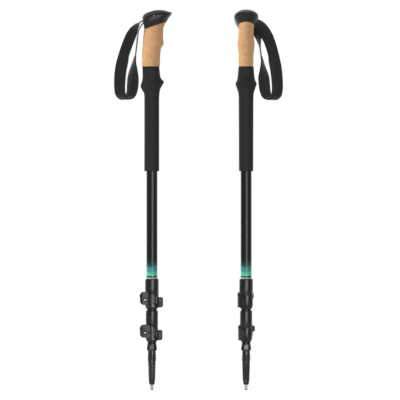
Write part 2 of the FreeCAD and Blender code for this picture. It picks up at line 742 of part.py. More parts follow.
def droop():
    """The turn about the pin that lets the strap's sewn end slope down to the back."""
    return Rotation(Vector(0, 1, 0), -size("strap_droop"))


def strap_anchor(name):
    """The sewn end of the strap: an eye round the pin, and a tail where both legs start."""
    eye = cylinder(f"{name}_eye", "anchor_radius", "2 * anchor_half", "-strap_pin_back",
                   "-anchor_half", STRAP_PIN_HEIGHT, along="y")
    tail = doc.addObject("Part::Box", f"{name}_tail")
    bind(tail, Length="anchor_tail", Width="2 * anchor_half", Height="2 * web_lift + web_thickness")
    tail_half = size("web_lift") + size("web_thickness") / 2
    corner = Vector(-size("anchor_tail"), 0, -tail_half)
    pin = strap_pin_middle() - Vector(0, size("anchor_half"), 0)
    tail.Placement = Placement(pin + droop().multVec(corner), droop())
    whole = fuse(f"{name}_whole", [eye, tail])
    hole = cylinder(f"{name}_hole", "strap_pin_radius + slide_gap", "2 * anchor_half",
                    "-strap_pin_back", "-anchor_half", STRAP_PIN_HEIGHT, along="y")
    return cut(name, whole, hole)


# The loop of each strap, from one leg at the pin down, round and up to the other. Each row is the
# middle of the webbing (in front of the pole's axis, to its side, above the strap pin) and the
# direction of its width.
LEFT_LOOP = [
    ((-17.4, -0.4, -2.2), (0, -1, 0)),
    ((-22.4, -1.4, -5.3), (0.35, -0.93, 0)),
    ((-27.2, -2.8, -11.6), (0.66, -0.75, 0)),
    ((-31.4, -4.2, -19.6), (0.84, -0.54, 0)),
    ((-37.2, -5.4, -32.9), (0.9, -0.43, 0)),
    ((-42, -6.2, -45.8), (0.9, -0.43, 0)),
    ((-46.2, -6.9, -58.9), (0.9, -0.43, 0)),
    ((-49.6, -7.3, -71.8), (0.9, -0.43, 0)),
    ((-51.9, -7.4, -84.7), (0.88, -0.47, 0)),
    ((-53, -7.3, -97.8), (0.86, -0.5, 0)),
    ((-53.2, -6.8, -110.8), (0.82, -0.57, 0)),
    ((-51.6, -5.4, -121.9), (0.78, -0.62, 0)),
    ((-44, 0.4, -128.9), (0.76, -0.65, 0)),
    ((-35.6, 6.8, -124.9), (0.78, -0.62, 0)),
    ((-32, 9.2, -116.5), (0.82, -0.57, 0)),
    ((-30.8, 10.2, -105.5), (0.88, -0.47, 0)),
    ((-30.2, 10.8, -94.5), (0.85, -0.53, 0)),
    ((-29.4, 11, -81.4), (0.6, -0.8, 0)),
    ((-28.4, 10.9, -68.4), (0.25, -0.97, 0)),
    ((-26.8, 10.2, -55.3), (0.1, -1, 0)),
    ((-25.2, 8.8, -42.2), (0.1, -1, 0)),
    ((-23.8, 6.8, -29.2), (0.1, -1, 0)),
    ((-21.8, 4, -17.8), (0.05, -1, 0)),
    ((-18.6, 1.4, -10.5), (0, -1, 0)),
    ((-15.4, 0.3, -6.1), (0, -1, 0)),
]
RIGHT_LOOP = [
    ((-17, 0.4, -5.5), (0.1, 0.98, 0.15)),
    ((-22.2, 2.8, -6.7), (0.45, 0.75, 0.4)),
    ((-26, 8.4, -6), (0.4, 0.45, 0.8)),
    ((-27, 15.6, -5.6), (0.3, 0.4, 0.86)),
    ((-25.6, 23, -9.6), (0.1, 0.6, 0.79)),
    ((-22.8, 29.6, -16.8), (-0.12, 0.76, 0.62)),
    ((-19.4, 35.6, -27), (-0.3, 0.85, 0.42)),
    ((-16.4, 40.2, -38.6), (-0.4, 0.86, 0.32)),
    ((-13.8, 43.6, -50.4), (-0.43, 0.87, 0.25)),
    ((-11.4, 46.4, -62.4), (-0.43, 0.88, 0.2)),
    ((-9.4, 49, -74.9), (-0.43, 0.9, 0.1)),
    ((-8.6, 50.8, -87.9), (-0.47, 0.88, 0)),
    ((-8.4, 51.9, -101), (-0.52, 0.85, 0)),
    ((-9.2, 52, -113.5), (-0.57, 0.82, 0)),
    ((-11.2, 50.2, -123.1), (-0.62, 0.78, 0)),
    ((-17.6, 43, -128.9), (-0.65, 0.76, 0)),
    ((-24.2, 34.8, -124.9), (-0.62, 0.78, 0)),
    ((-26.8, 31.2, -116.1), (-0.57, 0.82, 0)),
    ((-27.8, 29.6, -104.5), (-0.5, 0.86, 0)),
    ((-28, 28.6, -92.5), (-0.55, 0.83, 0)),
    ((-28.2, 27.7, -80.5), (-0.85, 0.52, 0)),
    ((-28.4, 26.7, -68.4), (-1, 0.2, 0)),
    ((-28.8, 25, -55.3), (-1, 0.1, 0)),
    ((-29.8, 23.2, -42.7), (-1, 0.12, 0)),
    ((-31.6, 20.8, -30.1), (-0.9, 0.4, 0.15)),
    ((-33.4, 18.4, -19.9), (-0.65, 0.7, 0.3)),
    ((-33.8, 14.4, -11.6), (-0.25, 0.75, 0.6)),
    ((-31.6, 8.2, -6), (0.2, 0.6, 0.75)),
    ((-25.2, 2.2, -3.1), (0.3, 0.85, 0.4)),
    ((-19, 0.2, -1.7), (0.05, 0.98, 0.1)),
]


def loop_rows(loop, starts_high):
    """The loop's middles and width directions, with its two ends at the anchor's tail."""
    back = -size("anchor_tail") - size("pad_gap")
    lift = size("web_lift") if starts_high else -size("web_lift")
    side = Vector(0, 1 if loop[0][1][1] > 0 else -1, 0)
    pin = strap_pin_middle()
    first = (pin + droop().multVec(Vector(back, 0, lift)), side)
    last = (pin + droop().multVec(Vector(back, 0, -lift)), side)
    rows = [(Vector(spot[0], spot[1], pin.z + spot[2]), Vector(*across)) for spot, across in loop]
    return [first] + rows + [last]


def band(name, rows, span, width, thickness, inward):
    """A flat band along some rows of a loop, set inwards from the rows' own surface."""
    sections = []
    for number in range(*span):
        before = rows[max(number - 1, 0)][0]
        after = rows[min(number + 1, len(rows) - 1)][0]
        spot, across = rows[number]
        along = (after - before).normalize()
        if number in (0, len(rows) - 1):
            along = droop().multVec(Vector(-1 if number == 0 else 1, 0, 0))
        wide = (across - along * across.dot(along)).normalize()
        outward = along.cross(wide).normalize()
        middle = spot - outward * inward
        half = wide * (width / 2)
        deep = outward * (thickness / 2)
        corners = [middle + half + deep, middle - half + deep, middle - half - deep,
                   middle + half - deep]
        sections.append(corners + corners[:1])
    faces = [Part.Face(Part.makePolygon(sections[0])), Part.Face(Part.makePolygon(sections[-1]))]
    for near, far in zip(sections, sections[1:]):
        for corner in range(4):
            near_edge = Part.makeLine(near[corner], near[corner + 1])
            far_edge = Part.makeLine(far[corner], far[corner + 1])
            faces.append(Part.makeRuledSurface(near_edge, far_edge))
    shell = Part.makeShell(faces)
    shell.sewShape()
    solid = Part.makeSolid(shell)
    if solid.Volume < 0:
        solid.reverse()
    feature = doc.addObject("Part::Feature", name)
    feature.Shape = solid
    return feature


def strap_web(name, rows):
    return band(name, rows, (0, len(rows)), size("web_width"), size("web_thickness"), 0)


def strap_pad(name, rows):
    """The lining inside the lower part of the loop, between the two rows where it starts and ends."""
    highest = strap_pin_middle().z - size("pad_drop")
    lined = [number for number, (spot, _) in enumerate(rows) if spot.z < highest]
    span = (lined[0], lined[-1] + 1)
    inward = size("web_thickness") / 2 + size("pad_gap") + size("pad_thickness") / 2
    return band(name, rows, span, size("pad_width"), size("pad_thickness"), inward)


# ---------------------------------------------------------------- the two poles

POLES = {
    # side: (loop of the strap, whether its first leg starts above the pin)
    "left": (LEFT_LOOP, True),
    "right": (RIGHT_LOOP, False),
}

for side, (loop, starts_high) in POLES.items():
    right = side == "right"
    pole_turn = size("right_turn") if right else 0
    upper_turn = pole_turn + (size("right_upper_clamp_turn") if right else 0)
    lower_turn = pole_turn + (size("right_lower_clamp_turn") if right else 0)
    spot = (size("pole_spacing") if right else 0, 0)
    rows = loop_rows(loop, starts_high)

    pieces = {
        "head_cap": head_cap,
        "head_shell": head_shell,
        "head_pin": lambda name: cross_pin_rod(name, "0", "cross_pin_half"),
        "strap_pin": lambda name: cylinder(
            name, "strap_pin_radius", "2 * strap_pin_half", "-strap_pin_back",
            "-strap_pin_half", STRAP_PIN_HEIGHT, along="y"),
        "strap_anchor": strap_anchor,
        "strap_web": lambda name: strap_web(name, rows),
        "strap_pad": lambda name: strap_pad(name, rows),
        "cork_grip": cork_grip,
        "grip_core": grip_core,
        "foam_grip": foam_grip,
        "upper_tube": lambda name: tube(name, "upper", "upper_clamp_bottom + upper_seat"),
        "middle_tube": lambda name: tube(name, "middle", "lower_clamp_bottom + lower_seat"),
        "lower_tube": lambda name: tube(name, "lower", LOWER_TUBE_BOTTOM),
        "middle_bush": lambda name: bush(name, "middle", "upper"),
        "lower_bush": lambda name: bush(name, "lower", "middle"),
        "flex_tip": flex_tip,
        "carbide_tip": carbide_tip,
    }
    for piece, make in pieces.items():
        node = f"{side}_{piece}"
        finish(node, make(node), pole_turn, spot)

    clamps = {"upper": ("upper", "middle", upper_turn), "lower": ("middle", "lower", lower_turn)}
    for level, (seated, sliding, turn) in clamps.items():
        bottom = f"{level}_clamp_bottom"
        stem = f"{side}_{level}"
        finish(f"{stem}_clamp", sleeve(f"{stem}_clamp", level, seated, sliding), turn, spot)
        finish(f"{stem}_lever", lever(f"{stem}_lever", level), turn, spot)
        finish(f"{stem}_barrel_pin", barrel_pin(f"{stem}_barrel_pin", bottom), turn, spot)
        finish(f"{stem}_tension_bolt", tension_bolt(f"{stem}_tension_bolt", bottom), turn, spot)
        finish(f"{stem}_tension_dial", tension_dial(f"{stem}_tension_dial", bottom), turn, spot)

# ---------------------------------------------------------------- check and write

doc.recompute()
for feature in doc.Objects:
    if "Invalid" in feature.State or "Error" in feature.State:
        raise RuntimeError(f"{feature.Label} did not build: {feature.State}")
os.makedirs("parts", exist_ok=True)
for feature in finished:
    shape = feature.Shape
    if shape.isNull() or not shape.isValid() or not shape.Solids:
        raise RuntimeError(f"{feature.Label} is not a valid solid")
    shape.exportStep(f"parts/{feature.Label}.step")
    print(f"{feature.Label}: {len(shape.Solids)} solid, {shape.Volume:.0f} mm3")
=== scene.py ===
"""A pair of three-section trekking poles, folded down, standing side by side on their tips."""

import math

import bmesh
import bpy
import numpy as np
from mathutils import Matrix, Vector


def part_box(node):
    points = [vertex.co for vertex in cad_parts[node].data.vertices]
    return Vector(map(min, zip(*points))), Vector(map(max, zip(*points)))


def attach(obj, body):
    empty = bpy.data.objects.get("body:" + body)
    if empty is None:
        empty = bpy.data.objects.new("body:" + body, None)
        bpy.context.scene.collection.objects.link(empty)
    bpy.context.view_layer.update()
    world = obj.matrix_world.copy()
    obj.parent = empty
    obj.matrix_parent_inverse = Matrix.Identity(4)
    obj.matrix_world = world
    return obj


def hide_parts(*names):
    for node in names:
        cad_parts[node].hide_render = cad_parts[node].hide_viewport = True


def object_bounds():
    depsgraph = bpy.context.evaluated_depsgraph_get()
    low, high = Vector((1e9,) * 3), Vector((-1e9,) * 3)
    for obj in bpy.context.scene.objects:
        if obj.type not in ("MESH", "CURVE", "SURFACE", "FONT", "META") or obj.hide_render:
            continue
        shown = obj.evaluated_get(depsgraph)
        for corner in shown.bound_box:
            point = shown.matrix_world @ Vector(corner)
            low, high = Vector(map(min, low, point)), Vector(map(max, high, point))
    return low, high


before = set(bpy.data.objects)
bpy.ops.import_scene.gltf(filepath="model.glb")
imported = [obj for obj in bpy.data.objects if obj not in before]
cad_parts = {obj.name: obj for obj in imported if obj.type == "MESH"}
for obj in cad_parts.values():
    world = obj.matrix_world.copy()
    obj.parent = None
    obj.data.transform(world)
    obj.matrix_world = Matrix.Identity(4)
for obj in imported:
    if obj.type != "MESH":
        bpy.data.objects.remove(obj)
cad_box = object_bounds()

# ---------------------------------------------------------------- the studio
# A pale floor, a white surround and tall soft lamps. The front one only draws the streak on tubes
# and clamps, and the sides and the back light the rest. Gloss sees the surround as white behind
# the poles and dim in front of them, as in a studio with a lit backdrop.

def add(tree, kind, inputs=(), **settings):
    """One node: settings are its properties, and each input gets a value or the socket that
    feeds it."""
    node = tree.nodes.new(kind)
    for key, value in settings.items():
        setattr(node, key, value)
    for key, value in dict(inputs).items():
        if isinstance(value, bpy.types.NodeSocket):
            tree.links.new(value, node.inputs[key])
        else:
            node.inputs[key].default_value = value
    return node


def colour(code):
    """An sRGB hex colour as linear light: each share c becomes ((c + 0.055) / 1.055) to the power
    2.4, or c / 12.92 where it is very dark."""
    shares = np.array([int(code[start:start + 2], 16) for start in (1, 3, 5)]) / 255
    linear = np.where(shares <= 0.04045, shares / 12.92, ((shares + 0.055) / 1.055) ** 2.4)
    return (*linear.tolist(), 1)


scene = bpy.context.scene
scene.view_settings.view_transform = "Standard"

picture_width = 0.6528
picture_middle = Vector((0.0785, 0, 0.3102))
lens, sensor = 300, 36
camera = bpy.data.objects.new("camera", bpy.data.cameras.new("camera"))
camera.data.lens, camera.data.sensor_width = lens, sensor
camera.location = picture_middle - Vector((0, picture_width * lens / sensor, 0))
camera.rotation_euler = (math.radians(90), 0, 0)
camera.data.clip_end = 50
scene.collection.objects.link(camera)
scene.camera = camera


def soft_lamp(name, spot, width, height, power):
    """An area lamp at a spot that faces the middle of the poles."""
    data = bpy.data.lights.new(name, "AREA")
    data.shape = "RECTANGLE"
    data.size, data.size_y, data.energy = width, height, power
    lamp = bpy.data.objects.new(name, data)
    lamp.location = spot
    lamp.rotation_euler = (picture_middle - Vector(spot)).to_track_quat("-Z", "Y").to_euler()
    scene.collection.objects.link(lamp)
    return lamp


soft_lamp("front_lamp", (0.55, -2.0, 0.5), 1.1, 1.8, 30).visible_diffuse = False
soft_lamp("left_lamp", (-1.7, -0.9, 0.6), 0.9, 1.5, 30).visible_glossy = False
soft_lamp("right_lamp", (1.9, -0.9, 0.6), 0.9, 1.5, 9).visible_glossy = False
soft_lamp("back_lamp", (-0.6, 2.0, 0.8), 0.9, 1.7, 12)

surround = bpy.data.worlds.new("surround")
surround.use_nodes = True
scene.world = surround
sky = surround.node_tree
sky.nodes.clear()
ray = add(sky, "ShaderNodeLightPath")
way = add(sky, "ShaderNodeTexCoord")
parts = add(sky, "ShaderNodeSeparateXYZ", {0: way.outputs["Generated"]})
dim_in_front, diffuse_share = 0.16, 0.25
behind = add(sky, "ShaderNodeMapRange", {
    "Value": parts.outputs["Y"], "From Min": -0.1, "From Max": 0.7, "To Min": dim_in_front,
    "To Max": 1.0}, interpolation_type="SMOOTHSTEP")
mirrored = add(sky, "ShaderNodeMath", {0: ray.outputs["Is Glossy Ray"], 1: behind.outputs[0]},
               operation="MULTIPLY")
seen = add(sky, "ShaderNodeMath", {0: ray.outputs["Is Camera Ray"],
                                   1: ray.outputs["Is Transmission Ray"]}, operation="MAXIMUM")
seen = add(sky, "ShaderNodeMath", {0: seen.outputs[0], 1: mirrored.outputs[0]}, operation="MAXIMUM")
spread = add(sky, "ShaderNodeMath", {0: ray.outputs["Is Diffuse Ray"], 1: diffuse_share},
             operation="MULTIPLY")
level = add(sky, "ShaderNodeMath", {0: seen.outputs[0], 1: spread.outputs[0]}, operation="MAXIMUM")
white = add(sky, "ShaderNodeBackground", {"Color": colour("#ffffff"), "Strength": level.outputs[0]})
add(sky, "ShaderNodeOutputWorld", {"Surface": white.outputs[0]})


def new_finish(name, base, roughness, specular=0.5, metallic=0.0):
    """A material with one shader: returns it, its node tree and the shader."""
    material = bpy.data.materials.new(name)
    material.use_nodes = True
    tree = material.node_tree
    tree.nodes.clear()
    shader = add(tree, "ShaderNodeBsdfPrincipled", {
        "Base Color": colour(base), "Roughness": roughness, "Specular IOR Level": specular,
        "Metallic": metallic})
    add(tree, "ShaderNodeOutputMaterial", {"Surface": shader.outputs[0]})
    return material, tree, shader


def skin(name, grid, closed=True, caps=True, sharp=40, **marks):
    """A mesh on a grid of points, rows by columns, in metres. Each face joins four neighbours, the
    last column meets the first when closed, and capped end rows are closed by fans to their
    middles. marks are values per point, kept as attributes, and edges bent by more than sharp
    degrees stay crisp."""
    rows, columns = grid.shape[:2]
    points = grid.reshape(-1, 3)
    start = np.arange(rows - 1)[:, None] * columns
    here = np.arange(columns if closed else columns - 1)[None, :]
    after = (here + 1) % columns
    above = start + columns
    faces = np.stack([start + here, start + after, above + after, above + here], -1)
    faces = faces.reshape(-1, 4).tolist()
    if caps:
        here, after = np.arange(columns), (np.arange(columns) + 1) % columns
        top = (rows - 1) * columns
        low_middle, high_middle = len(points), len(points) + 1
        points = np.vstack([points, grid[0].mean(0), grid[-1].mean(0)])
        faces += np.stack([np.full(columns, low_middle), after, here], 1).tolist()
        faces += np.stack([np.full(columns, high_middle), top + here, top + after], 1).tolist()
    mesh = bpy.data.meshes.new(name)
    mesh.from_pydata(points, [], faces)
    for mark, values in marks.items():
        layer = mesh.attributes.new(mark, "FLOAT", "POINT")
        spread = np.zeros(len(points))
        spread[:rows * columns] = np.broadcast_to(values, (rows, columns)).reshape(-1)
        layer.data.foreach_set("value", spread)
    mesh.shade_smooth()
    mesh.set_sharp_from_angle(angle=math.radians(sharp))
    piece = bpy.data.objects.new(name, mesh)
    scene.collection.objects.link(piece)
    return piece


def around(count):
    """Evenly spaced angles, once round."""
    return np.linspace(0, 2 * np.pi, count, endpoint=False)


floor_radius, floor_points, floor_drop, glow_share = 0.6, 96, 0.0002, 0.97
round_floor = around(floor_points)
rings = np.array([1.0, 0.5, 0.02])[:, None] * floor_radius
floor_grid = np.stack([picture_middle.x + rings * np.cos(round_floor), rings * np.sin(round_floor),
                       np.full((len(rings), floor_points), cad_box[0].z - floor_drop)], -1)
floor = skin("floor", floor_grid, caps=False)
# Matt paper has no shine. It glows towards the camera, so that it reads as nearly white.
paper, tree, shader = new_finish("matt_paper", "#f4f4f2", 0.9, 0.2)
ray = add(tree, "ShaderNodeLightPath")
glow = add(tree, "ShaderNodeEmission", {"Color": colour("#ffffff"), "Strength": 1.0})
share = add(tree, "ShaderNodeMath", {0: ray.outputs["Is Camera Ray"], 1: glow_share},
            operation="MULTIPLY")
mixed = add(tree, "ShaderNodeMixShader",
            {0: share.outputs[0], 1: shader.outputs[0], 2: glow.outputs[0]})
tree.links.new(mixed.outputs[0], tree.nodes["Material Output"].inputs["Surface"])
floor.data.materials.append(paper)

# ---------------------------------------------------------------- tubes
# Three drawn aluminium tubes slide into each other. The upper one is powder coated black with
# printed rings and layered waves above its clamp, and the two lower ones are anodised.

MM = 0.001
POLE_TURN = {"left": 0, "right": -90}
AXIS = {side: (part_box(f"{side}_upper_tube")[0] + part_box(f"{side}_upper_tube")[1]) / 2
        for side in POLE_TURN}


def bare(*nodes, finish):
    """Gives CAD pieces their finish on the meshes that the frame brought."""
    for node in nodes:
        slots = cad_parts[node].data.materials
        slots.clear()
        slots.append(finish)


def add_bump(tree, shader, height, depth, strength):
    """Bump from a socket that gives a height between 0 and 1, depth metres high."""
    bump = add(tree, "ShaderNodeBump", {"Height": height, "Distance": depth, "Strength": strength})
    tree.links.new(bump.outputs[0], shader.inputs["Normal"])


def add_sheen(shader, weight, roughness):
    """The pale rim of light that fine fibres or cells give."""
    shader.inputs["Sheen Weight"].default_value = weight
    shader.inputs["Sheen Roughness"].default_value = roughness


def drawn_grain(tree, shader, across, along, depth):
    """Fine upright lines left by drawing a tube, as bump stretched along its height."""
    place = add(tree, "ShaderNodeTexCoord")
    stretch = add(tree, "ShaderNodeMapping", {"Vector": place.outputs["Object"],
                                              "Scale": (1 / across, 1 / across, 1 / along)})
    grain = add(tree, "ShaderNodeTexNoise", {"Vector": stretch.outputs[0], "Scale": 1.0,
                                             "Detail": 3.0})
    add_bump(tree, shader, grain.outputs["Fac"], depth, 0.4)


def painted_tube(side):
    """Powder-coated aluminium: satin black, with a pale ring, a dark line and three layers of
    green whose edges are waves, z + a sin(3 angle) + b sin(5 angle), fading up into the black."""
    finish, tree, shader = new_finish(f"powder_coated_aluminium_{side}", "#17181a", 0.34, 0.42)
    place = add(tree, "ShaderNodeTexCoord")
    centre = add(tree, "ShaderNodeMapping", {"Vector": place.outputs["Object"],
                                             "Location": (-AXIS[side].x, -AXIS[side].y, 0)})
    parts = add(tree, "ShaderNodeSeparateXYZ", {0: centre.outputs[0]})
    angle = add(tree, "ShaderNodeMath", {0: parts.outputs[1], 1: parts.outputs[0]},
                operation="ARCTAN2")
    waves = []
    for count, shift, height in ((3, 0.7, 1.1), (5, 2.1, 0.5)):
        turn = add(tree, "ShaderNodeMath", {0: angle.outputs[0], 1: count, 2: shift},
                   operation="MULTIPLY_ADD")
        swing = add(tree, "ShaderNodeMath", {0: turn.outputs[0]}, operation="SINE")
        waves.append(add(tree, "ShaderNodeMath", {0: swing.outputs[0], 1: height * MM},
                         operation="MULTIPLY"))
    wave = add(tree, "ShaderNodeMath", {0: waves[0].outputs[0], 1: waves[1].outputs[0]},
               operation="ADD")
    ring_top = 0.1865
    calm = add(tree, "ShaderNodeMapRange", {"Value": parts.outputs[2], "From Min": ring_top,
                                            "From Max": ring_top + 3 * MM})
    level = add(tree, "ShaderNodeMath", {0: wave.outputs[0], 1: calm.outputs[0],
                                         2: parts.outputs[2]}, operation="MULTIPLY_ADD")
    print_low, print_high = 0.175, 0.226
    share = add(tree, "ShaderNodeMapRange", {"Value": level.outputs[0], "From Min": print_low,
                                             "From Max": print_high})
    ramp = add(tree, "ShaderNodeValToRGB", {0: share.outputs[0]})
    stops = [
        # height, colour; two stops close together make a crisp edge
        (0.1750, "#17181a"), (0.1752, "#17181a"), (0.1762, "#c3dccf"), (0.1838, "#b4d4c6"),
        (0.1840, "#10271f"), (0.1860, "#12302a"), (0.1863, "#66dcb4"), (0.1922, "#5ed0ac"),
        (0.1925, "#4fa9a2"), (0.2015, "#3c918a"), (0.2018, "#1c6452"), (0.2080, "#164438"),
        (0.2084, "#132f28"), (0.2180, "#17191b"),
    ]
    elements = ramp.color_ramp.elements
    for place_in_ramp, (height, code) in enumerate(stops):
        share_up = (height - print_low) / (print_high - print_low)
        # a new ramp already holds two stops
        stop = elements[place_in_ramp] if place_in_ramp < 2 else elements.new(share_up)
        stop.position, stop.color = share_up, colour(code)
    tree.links.new(ramp.outputs[0], shader.inputs["Base Color"])
    drawn_grain(tree, shader, 0.35 * MM, 30 * MM, 0.02 * MM)
    return finish


# Anodised aluminium is dark and half metallic, and its drawing lines stretch the streak.
anodised, tree, shader = new_finish("anodised_aluminium", "#2a2b2d", 0.32, 0.5, 0.55)
drawn_grain(tree, shader, 0.3 * MM, 40 * MM, 0.02 * MM)
# Moulded nylon is dull and even.
bush_nylon, tree, shader = new_finish("moulded_nylon_bush", "#2c2c2e", 0.5, 0.4)
drawn_grain(tree, shader, 0.6 * MM, 0.6 * MM, 0.03 * MM)

for side in POLE_TURN:
    bare(f"{side}_upper_tube", finish=painted_tube(side))
    bare(f"{side}_middle_tube", f"{side}_lower_tube", finish=anodised)
    bare(f"{side}_middle_bush", f"{side}_lower_bush", finish=bush_nylon)

# ---------------------------------------------------------------- flex tips
# A moulded polypropylene shaft, with a spigot pressed in the lower tube. It has six grooves along
# its taper, a thread for a basket, a waist, and a skirt with eight flats round the tube's end.

def cubic(t, gap, start, end, start_lean, end_lean):
    """A cubic piece: the value at share t of a gap, between two values with a lean at each."""
    return (start + (end - start) * t * t * (3 - 2 * t)
            + gap * t * (1 - t) * (start_lean * (1 - t) - end_lean * t))


def travelled(steps):
    """How far along each station lies, from the lengths of the steps between them."""
    return np.concatenate(([0], np.cumsum(steps)))


def smooth(stations, values, at):
    """Values between stations along cubic pieces. The slope at a station is the harmonic mean of
    the slopes on its two sides, and zero where they turn, so the curve never overshoots."""
    stations, values = np.asarray(stations, float), np.asarray(values, float)
    gaps = np.diff(stations)
    slopes = np.diff(values) / gaps
    product = slopes[1:] * slopes[:-1]
    both = np.where(product > 0, slopes[1:] + slopes[:-1], 1)
    inner = np.where(product > 0, 2 * product / both, 0)
    lean = np.concatenate(([slopes[0]], inner, [slopes[-1]]))
    piece = np.clip(np.searchsorted(stations, at, side="right") - 1, 0, len(gaps) - 1)
    t = (at - stations[piece]) / gaps[piece]
    return cubic(t, gaps[piece], values[piece], values[piece + 1], lean[piece], lean[piece + 1])


def stand(grid, side, turn=0.0):
    """Points of a piece, in millimetres about its pole's axis, turned about it and moved to the
    pole."""
    angle = math.radians(POLE_TURN[side] + turn)
    x = grid[..., 0] * math.cos(angle) - grid[..., 1] * math.sin(angle)
    y = grid[..., 0] * math.sin(angle) + grid[..., 1] * math.cos(angle)
    return np.stack([x * MM + AXIS[side].x, y * MM + AXIS[side].y, grid[..., 2] * MM], -1)


def dress(piece, body, slot, finish, *nodes):
    """Gives a new piece its finish, the body it rides on and the CAD pieces it stands for.
    The slot is not used."""
    piece.data.materials.append(finish)
    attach(piece, body)
    if nodes:
        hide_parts(*nodes)


def moulded_grain(tree, shader, size, depth, strength=0.5):
    """Spark-eroded mould texture: small random grains, as bump."""
    place = add(tree, "ShaderNodeTexCoord")
    grain = add(tree, "ShaderNodeTexNoise", {"Vector": place.outputs["Object"], "Scale": 1 / size,
                                             "Detail": 2.0, "Roughness": 0.6})
    add_bump(tree, shader, grain.outputs["Fac"], depth, strength)


# Moulded polypropylene is waxy, and takes a clear highlight.
tip_polymer, tree, shader = new_finish("moulded_polypropylene", "#1b1b1d", 0.24, 0.8)
moulded_grain(tree, shader, 0.7 * MM, 0.006 * MM)


def tip_shaft(name, side):
    """A turned surface: radius by height, less grooves by angle on the taper, less a helix on the
    thread, sin(angle - height), and drawn in to flats on the skirt."""
    grooves, groove_depth, thread_depth, pitch, flats = 6, 1.1, 0.28, 2.4, 8
    rows = [
        # height, radius
        (9, 1.9), (9, 3.9), (9.5, 4.25), (17, 5.4), (30, 5.85), (48.2, 6.4), (48.5, 6.9),
        (49.3, 7.1), (57.2, 7.1), (58, 6.9), (58.3, 6.45), (63.7, 6.4), (64.4, 6.9),
        (66.3, 8.7), (67, 8.8), (68, 8.8), (75.4, 7.6), (76, 7.35), (76, 7.06),
    ]
    heights, radii = np.array(rows).T
    travel = travelled(np.hypot(np.diff(heights), np.diff(radii)) + 1e-3)
    at = np.unique(np.concatenate((np.linspace(0, travel[-1], 300), travel)))
    z, r = np.interp(at, travel, heights)[:, None], np.interp(at, travel, radii)[:, None]
    turn = around(144)[None, :]
    taper = smooth([9, 13, 18, 40, 46, 80], [0, 0, 1, 1, 0, 0], z)
    groove = np.clip(np.cos(grooves * turn) - 0.15, 0, 1) ** 0.7
    r = r - groove_depth * taper * groove
    threaded = smooth([9, 48.6, 49.8, 56.6, 57.8, 80], [0, 0, 1, 1, 0, 0], z)
    r = r - thread_depth * threaded * (1 + np.sin(turn - 2 * np.pi * z / pitch))
    skirt = smooth([9, 64.5, 67, 73, 75.5, 80], [0, 0, 1, 1, 0, 0], z)
    half_flat = np.pi / flats
    flat = np.cos(half_flat) / np.cos((turn + half_flat) % (2 * half_flat) - half_flat)
    r = r * (1 - skirt * (1 - flat))
    z = np.broadcast_to(z, r.shape)
    grid = np.stack([r * np.cos(turn), r * np.sin(turn), z], -1)
    return skin(name, stand(grid, side), caps=False, sharp=35)


for side in POLE_TURN:
    shaft = tip_shaft(f"{side}_tip_shaft", side)
    dress(shaft, f"{side}_lower_section", "tip_plastic", tip_polymer, f"{side}_flex_tip")

# ---------------------------------------------------------------- carbide tips
# A sintered tungsten carbide pin, pressed in the flex tip. It has a shallow groove round it, and
# its end is hollow, so that the rim bites.

# Sintered carbide is a bright bare metal, faintly grained.
carbide, tree, shader = new_finish("sintered_tungsten_carbide", "#c9c9c6", 0.24, 0.5, 1.0)
moulded_grain(tree, shader, 0.3 * MM, 0.01 * MM)


def tip_point(name, side):
    """A turned surface: radius by height, with shallow flutes on the biting end."""
    flutes, flute_depth = 8, 0.07
    rows = np.array([(0.95, 0.02), (0.8, 0.7), (0.25, 1.35), (0, 1.7), (0.25, 2.0), (1.6, 2.3),
                     (3.2, 2.35), (3.5, 2.2), (4, 2.2), (4.3, 2.35), (9, 2.35), (9.2, 1.8)])
    travel = travelled(np.hypot(*np.diff(rows, axis=0).T))
    at = np.linspace(0, travel[-1], 90)
    z, r = smooth(travel, rows[:, 0], at)[:, None], smooth(travel, rows[:, 1], at)[:, None]
    turn = around(64)[None, :]
    bite = smooth([0, 0.4, 3, 10], [0, 1, 0, 0], z)
    r = r * (1 - flute_depth * bite * (1 + np.cos(flutes * turn)))
    grid = np.stack([r * np.cos(turn), r * np.sin(turn), np.broadcast_to(z, r.shape)], -1)
    return skin(name, stand(grid, side))


for side in POLE_TURN:
    point = tip_point(f"{side}_tip_point", side)
    dress(point, f"{side}_lower_section", "carbide", carbide, f"{side}_carbide_tip")

# ---------------------------------------------------------------- clamps
# Split sleeves of glass-filled nylon, pushed on the upper and the middle tube. Their two ears are
# drawn together by the lever's bolt. Edges are broken by a third of a millimetre.

# Glass-filled nylon is satin, and a little uneven from its fibres.
clamp_nylon, tree, shader = new_finish("glass_filled_nylon", "#1b1b1c", 0.34, 0.6)
moulded_grain(tree, shader, 0.5 * MM, 0.008 * MM)


def broken_edges(name, node, width):
    """A copy of a CAD piece with its doubles merged and every sharp edge rounded."""
    weld, level_angle, sharp_angle = 1e-6, math.radians(0.5), math.radians(35)
    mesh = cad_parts[node].data.copy()
    mesh.name = name
    mesh.materials.clear()
    work = bmesh.new()
    work.from_mesh(mesh)
    bmesh.ops.remove_doubles(work, verts=work.verts, dist=weld)
    bmesh.ops.dissolve_limit(work, angle_limit=level_angle, verts=work.verts, edges=work.edges)
    work.to_mesh(mesh)
    work.free()
    mesh.shade_smooth()
    piece = bpy.data.objects.new(name, mesh)
    scene.collection.objects.link(piece)
    rounded = piece.modifiers.new("broken_edges", "BEVEL")
    rounded.width, rounded.segments = width, 2
    rounded.limit_method, rounded.angle_limit = "ANGLE", sharp_angle
    rounded.harden_normals = True
    return piece


for side in POLE_TURN:
    for level, section in (("upper", "upper"), ("lower", "middle")):
        clamp = f"{side}_{level}_clamp"
        sleeve = broken_edges(f"{clamp}_sleeve", clamp, 0.35 * MM)
        dress(sleeve, f"{side}_{section}_section", "clamp_plastic", clamp_nylon, clamp)

